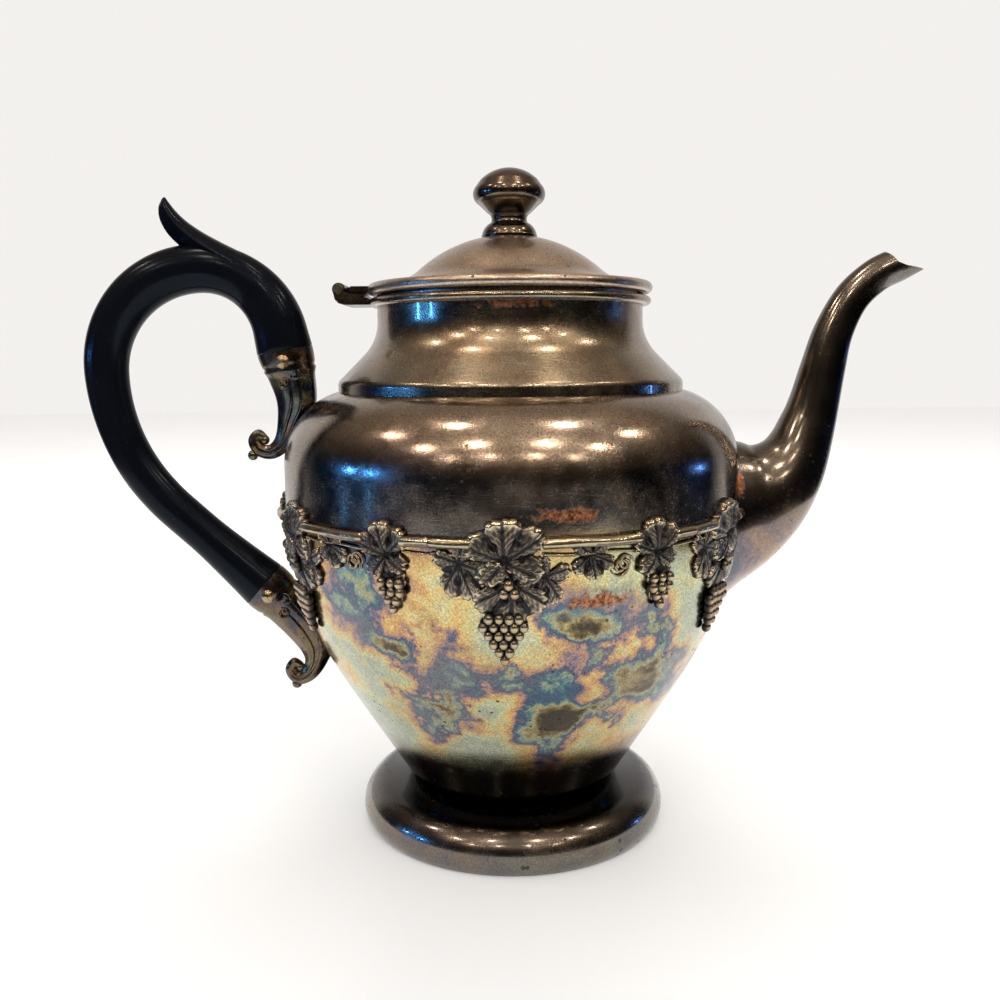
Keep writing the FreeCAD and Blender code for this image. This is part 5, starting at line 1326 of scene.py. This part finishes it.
def makeTable():
    material, tree, shader, where = newMaterial("paleTable")
    cloud = node(tree, "ShaderNodeTexNoise", Scale=14.0, Detail=3.0)
    feed(tree, where, cloud.inputs["Vector"])
    feed(tree, ramp(tree, cloud.outputs["Fac"], ((0.3, tableShape["shade"]), (0.7, tableShape["colour"]))),
         shader.inputs["Base Color"])
    shader.inputs["Roughness"].default_value = 0.6
    shader.inputs["Emission Color"].default_value = (1.0, 0.99, 0.98, 1)
    shader.inputs["Emission Strength"].default_value = tableShape["glow"]
    for name, left, right, front, back, height, mirrored in tableShape["sheets"]:
        mesh = bpy.data.meshes.new(name)
        corners = [(left, front, height), (right, front, height), (right, back, height), (left, back, height)]
        mesh.from_pydata(corners, [], [(0, 1, 2, 3)])
        mesh.materials.append(material)
        sheet = bpy.data.objects.new(name, mesh)
        sheet.visible_glossy = mirrored
        scene.collection.objects.link(sheet)


lightRig = {
    "soft": (  # name, place, width, height, watts, colour
        ("softTop", (0.1, 0.75, 1.3), 1.4, 0.8, 7.0, (1.0, 0.98, 0.96)),
        ("softFront", (0.2, -0.9, 1.3), 1.0, 0.8, 6.0, (1.0, 0.97, 0.93)),
        ("softLeft", (-1.3, 0.2, 0.75), 0.5, 0.7, 2.5, (0.85, 0.92, 1.0))),
    "ceiling": {"height": 1.6, "columns": (-1.4, -0.47, 0.47, 1.4),
                "rows": ((-0.25, 2.6), (-1.2, 3.4), (-2.2, 2.2)),  # place and watts
                "size": 0.15, "colour": (1.0, 0.81, 0.64)},
    "windows": (
        ("windowNear", (-1.4, -0.55, 0.22), 0.05, 0.07, 1.3, (0.06, 0.32, 1.0)),
        ("windowFar", (-1.5, -0.20, 0.24), 0.05, 0.07, 1.3, (0.06, 0.32, 1.0)),
        ("windowNearSill", (-1.4, -0.50, -0.10), 0.02, 0.09, 0.05, (0.12, 0.42, 1.0)),
        ("windowFarSill", (-1.5, -0.10, -0.11), 0.02, 0.09, 0.05, (0.12, 0.42, 1.0)),
        ("windowRight", (1.5, 0.27, 0.12), 0.05, 0.10, 0.5, (0.10, 0.30, 1.0)))}


def hangLamp(name, spot, width, height, watts, colour, mirrored):
    lamp = bpy.data.lights.new(name, "AREA")
    lamp.shape, lamp.size, lamp.size_y = "ELLIPSE" if mirrored else "RECTANGLE", width, height
    lamp.energy, lamp.color = watts, colour
    holder = bpy.data.objects.new(name, lamp)
    holder.location = spot
    holder.rotation_euler = (Vector((0, 0, 0.08)) - Vector(spot)).to_track_quat("-Z", "Y").to_euler()
    holder.visible_glossy, holder.visible_diffuse = mirrored, not mirrored
    scene.collection.objects.link(holder)


def makeLights():
    for row in lightRig["soft"]:
        hangLamp(*row, False)
    for row in lightRig["windows"]:
        hangLamp(*row, True)
    grid = lightRig["ceiling"]
    for y, watts in grid["rows"]:
        for x in grid["columns"]:
            name = f"ceilingLamp{len(bpy.data.lights)}"
            hangLamp(name, (x, y, grid["height"]), grid["size"], grid["size"], watts, grid["colour"], True)
    world = bpy.data.worlds.new("studio")
    scene.world = world
    world.use_nodes = True
    tree = world.node_tree
    tree.nodes.clear()
    facing = node(tree, "ShaderNodeSeparateXYZ")
    direction = tree.nodes.new("ShaderNodeTexCoord").outputs["Generated"]
    feed(tree, direction, facing.inputs[0])
    sides = ramp(tree, span(tree, facing.outputs["X"], -1.0, 1.0), (  # bluish left, warm middle, dark right
        (0.0, (0.003, 0.010, 0.024)), (0.15, (0.004, 0.009, 0.018)), (0.35, (0.02, 0.018, 0.018)),
        (0.52, (0.045, 0.036, 0.03)), (0.7, (0.014, 0.012, 0.011)), (1.0, (0.003, 0.003, 0.005))))
    above = ramp(tree, facing.outputs["Z"], ((0.4, (0.09, 0.07, 0.05)), (0.75, (0.27, 0.21, 0.16)),
                                             (1.0, (0.42, 0.325, 0.26))))
    front = blend(tree, span(tree, facing.outputs["Z"], 0.1, 0.5), sides, above)
    backdrop = ramp(tree, facing.outputs["Z"], ((0.3, (0.72, 0.70, 0.69)), (0.75, (0.42, 0.36, 0.30))))
    lamplit = node(tree, "ShaderNodeVectorMath", operation="DOT_PRODUCT")  # glow above the front
    feed(tree, direction, lamplit.inputs[0])
    lamplit.inputs[1].default_value = (0.05, -0.50, 0.86)
    glow = reckon(tree, "MULTIPLY", span(tree, lamplit.outputs["Value"], 0.76, 1.0), 0.6)
    front = blend(tree, glow, front, (1.0, 0.79, 0.6))
    room = blend(tree, span(tree, facing.outputs["Y"], 0.42, 0.62), front, backdrop)
    path = tree.nodes.new("ShaderNodeLightPath").outputs
    soft = blend(tree, path["Is Diffuse Ray"], room, (0.88, 0.87, 0.86))  # lights the stage and the grip
    back = tree.nodes.new("ShaderNodeBackground")
    feed(tree, blend(tree, path["Is Camera Ray"], soft, (0.9, 0.878, 0.857)), back.inputs["Color"])
    feed(tree, back.outputs[0], tree.nodes.new("ShaderNodeOutputWorld").inputs[0])


cameraShape = {"place": (-0.0034, -0.306, 0.1432), "pitch": 8.14, "roll": -0.45, "lens": 36.0, "sensor": 36.0}


def makeCamera():
    lens = bpy.data.cameras.new("photoCamera")
    lens.lens, lens.sensor_width = cameraShape["lens"], cameraShape["sensor"]
    lens.clip_start, lens.clip_end = 0.01, 20.0
    holder = bpy.data.objects.new("photoCamera", lens)
    tilt = Matrix.Rotation(math.radians(90 - cameraShape["pitch"]), 4, "X")
    roll = Matrix.Rotation(math.radians(cameraShape["roll"]), 4, "Z")
    holder.matrix_world = Matrix.Translation(cameraShape["place"]) @ tilt @ roll
    scene.collection.objects.link(holder)
    scene.camera = holder


makeTable()
makeLights()
makeCamera()
scene.view_settings.view_transform = "Standard"
print("teapot: done")
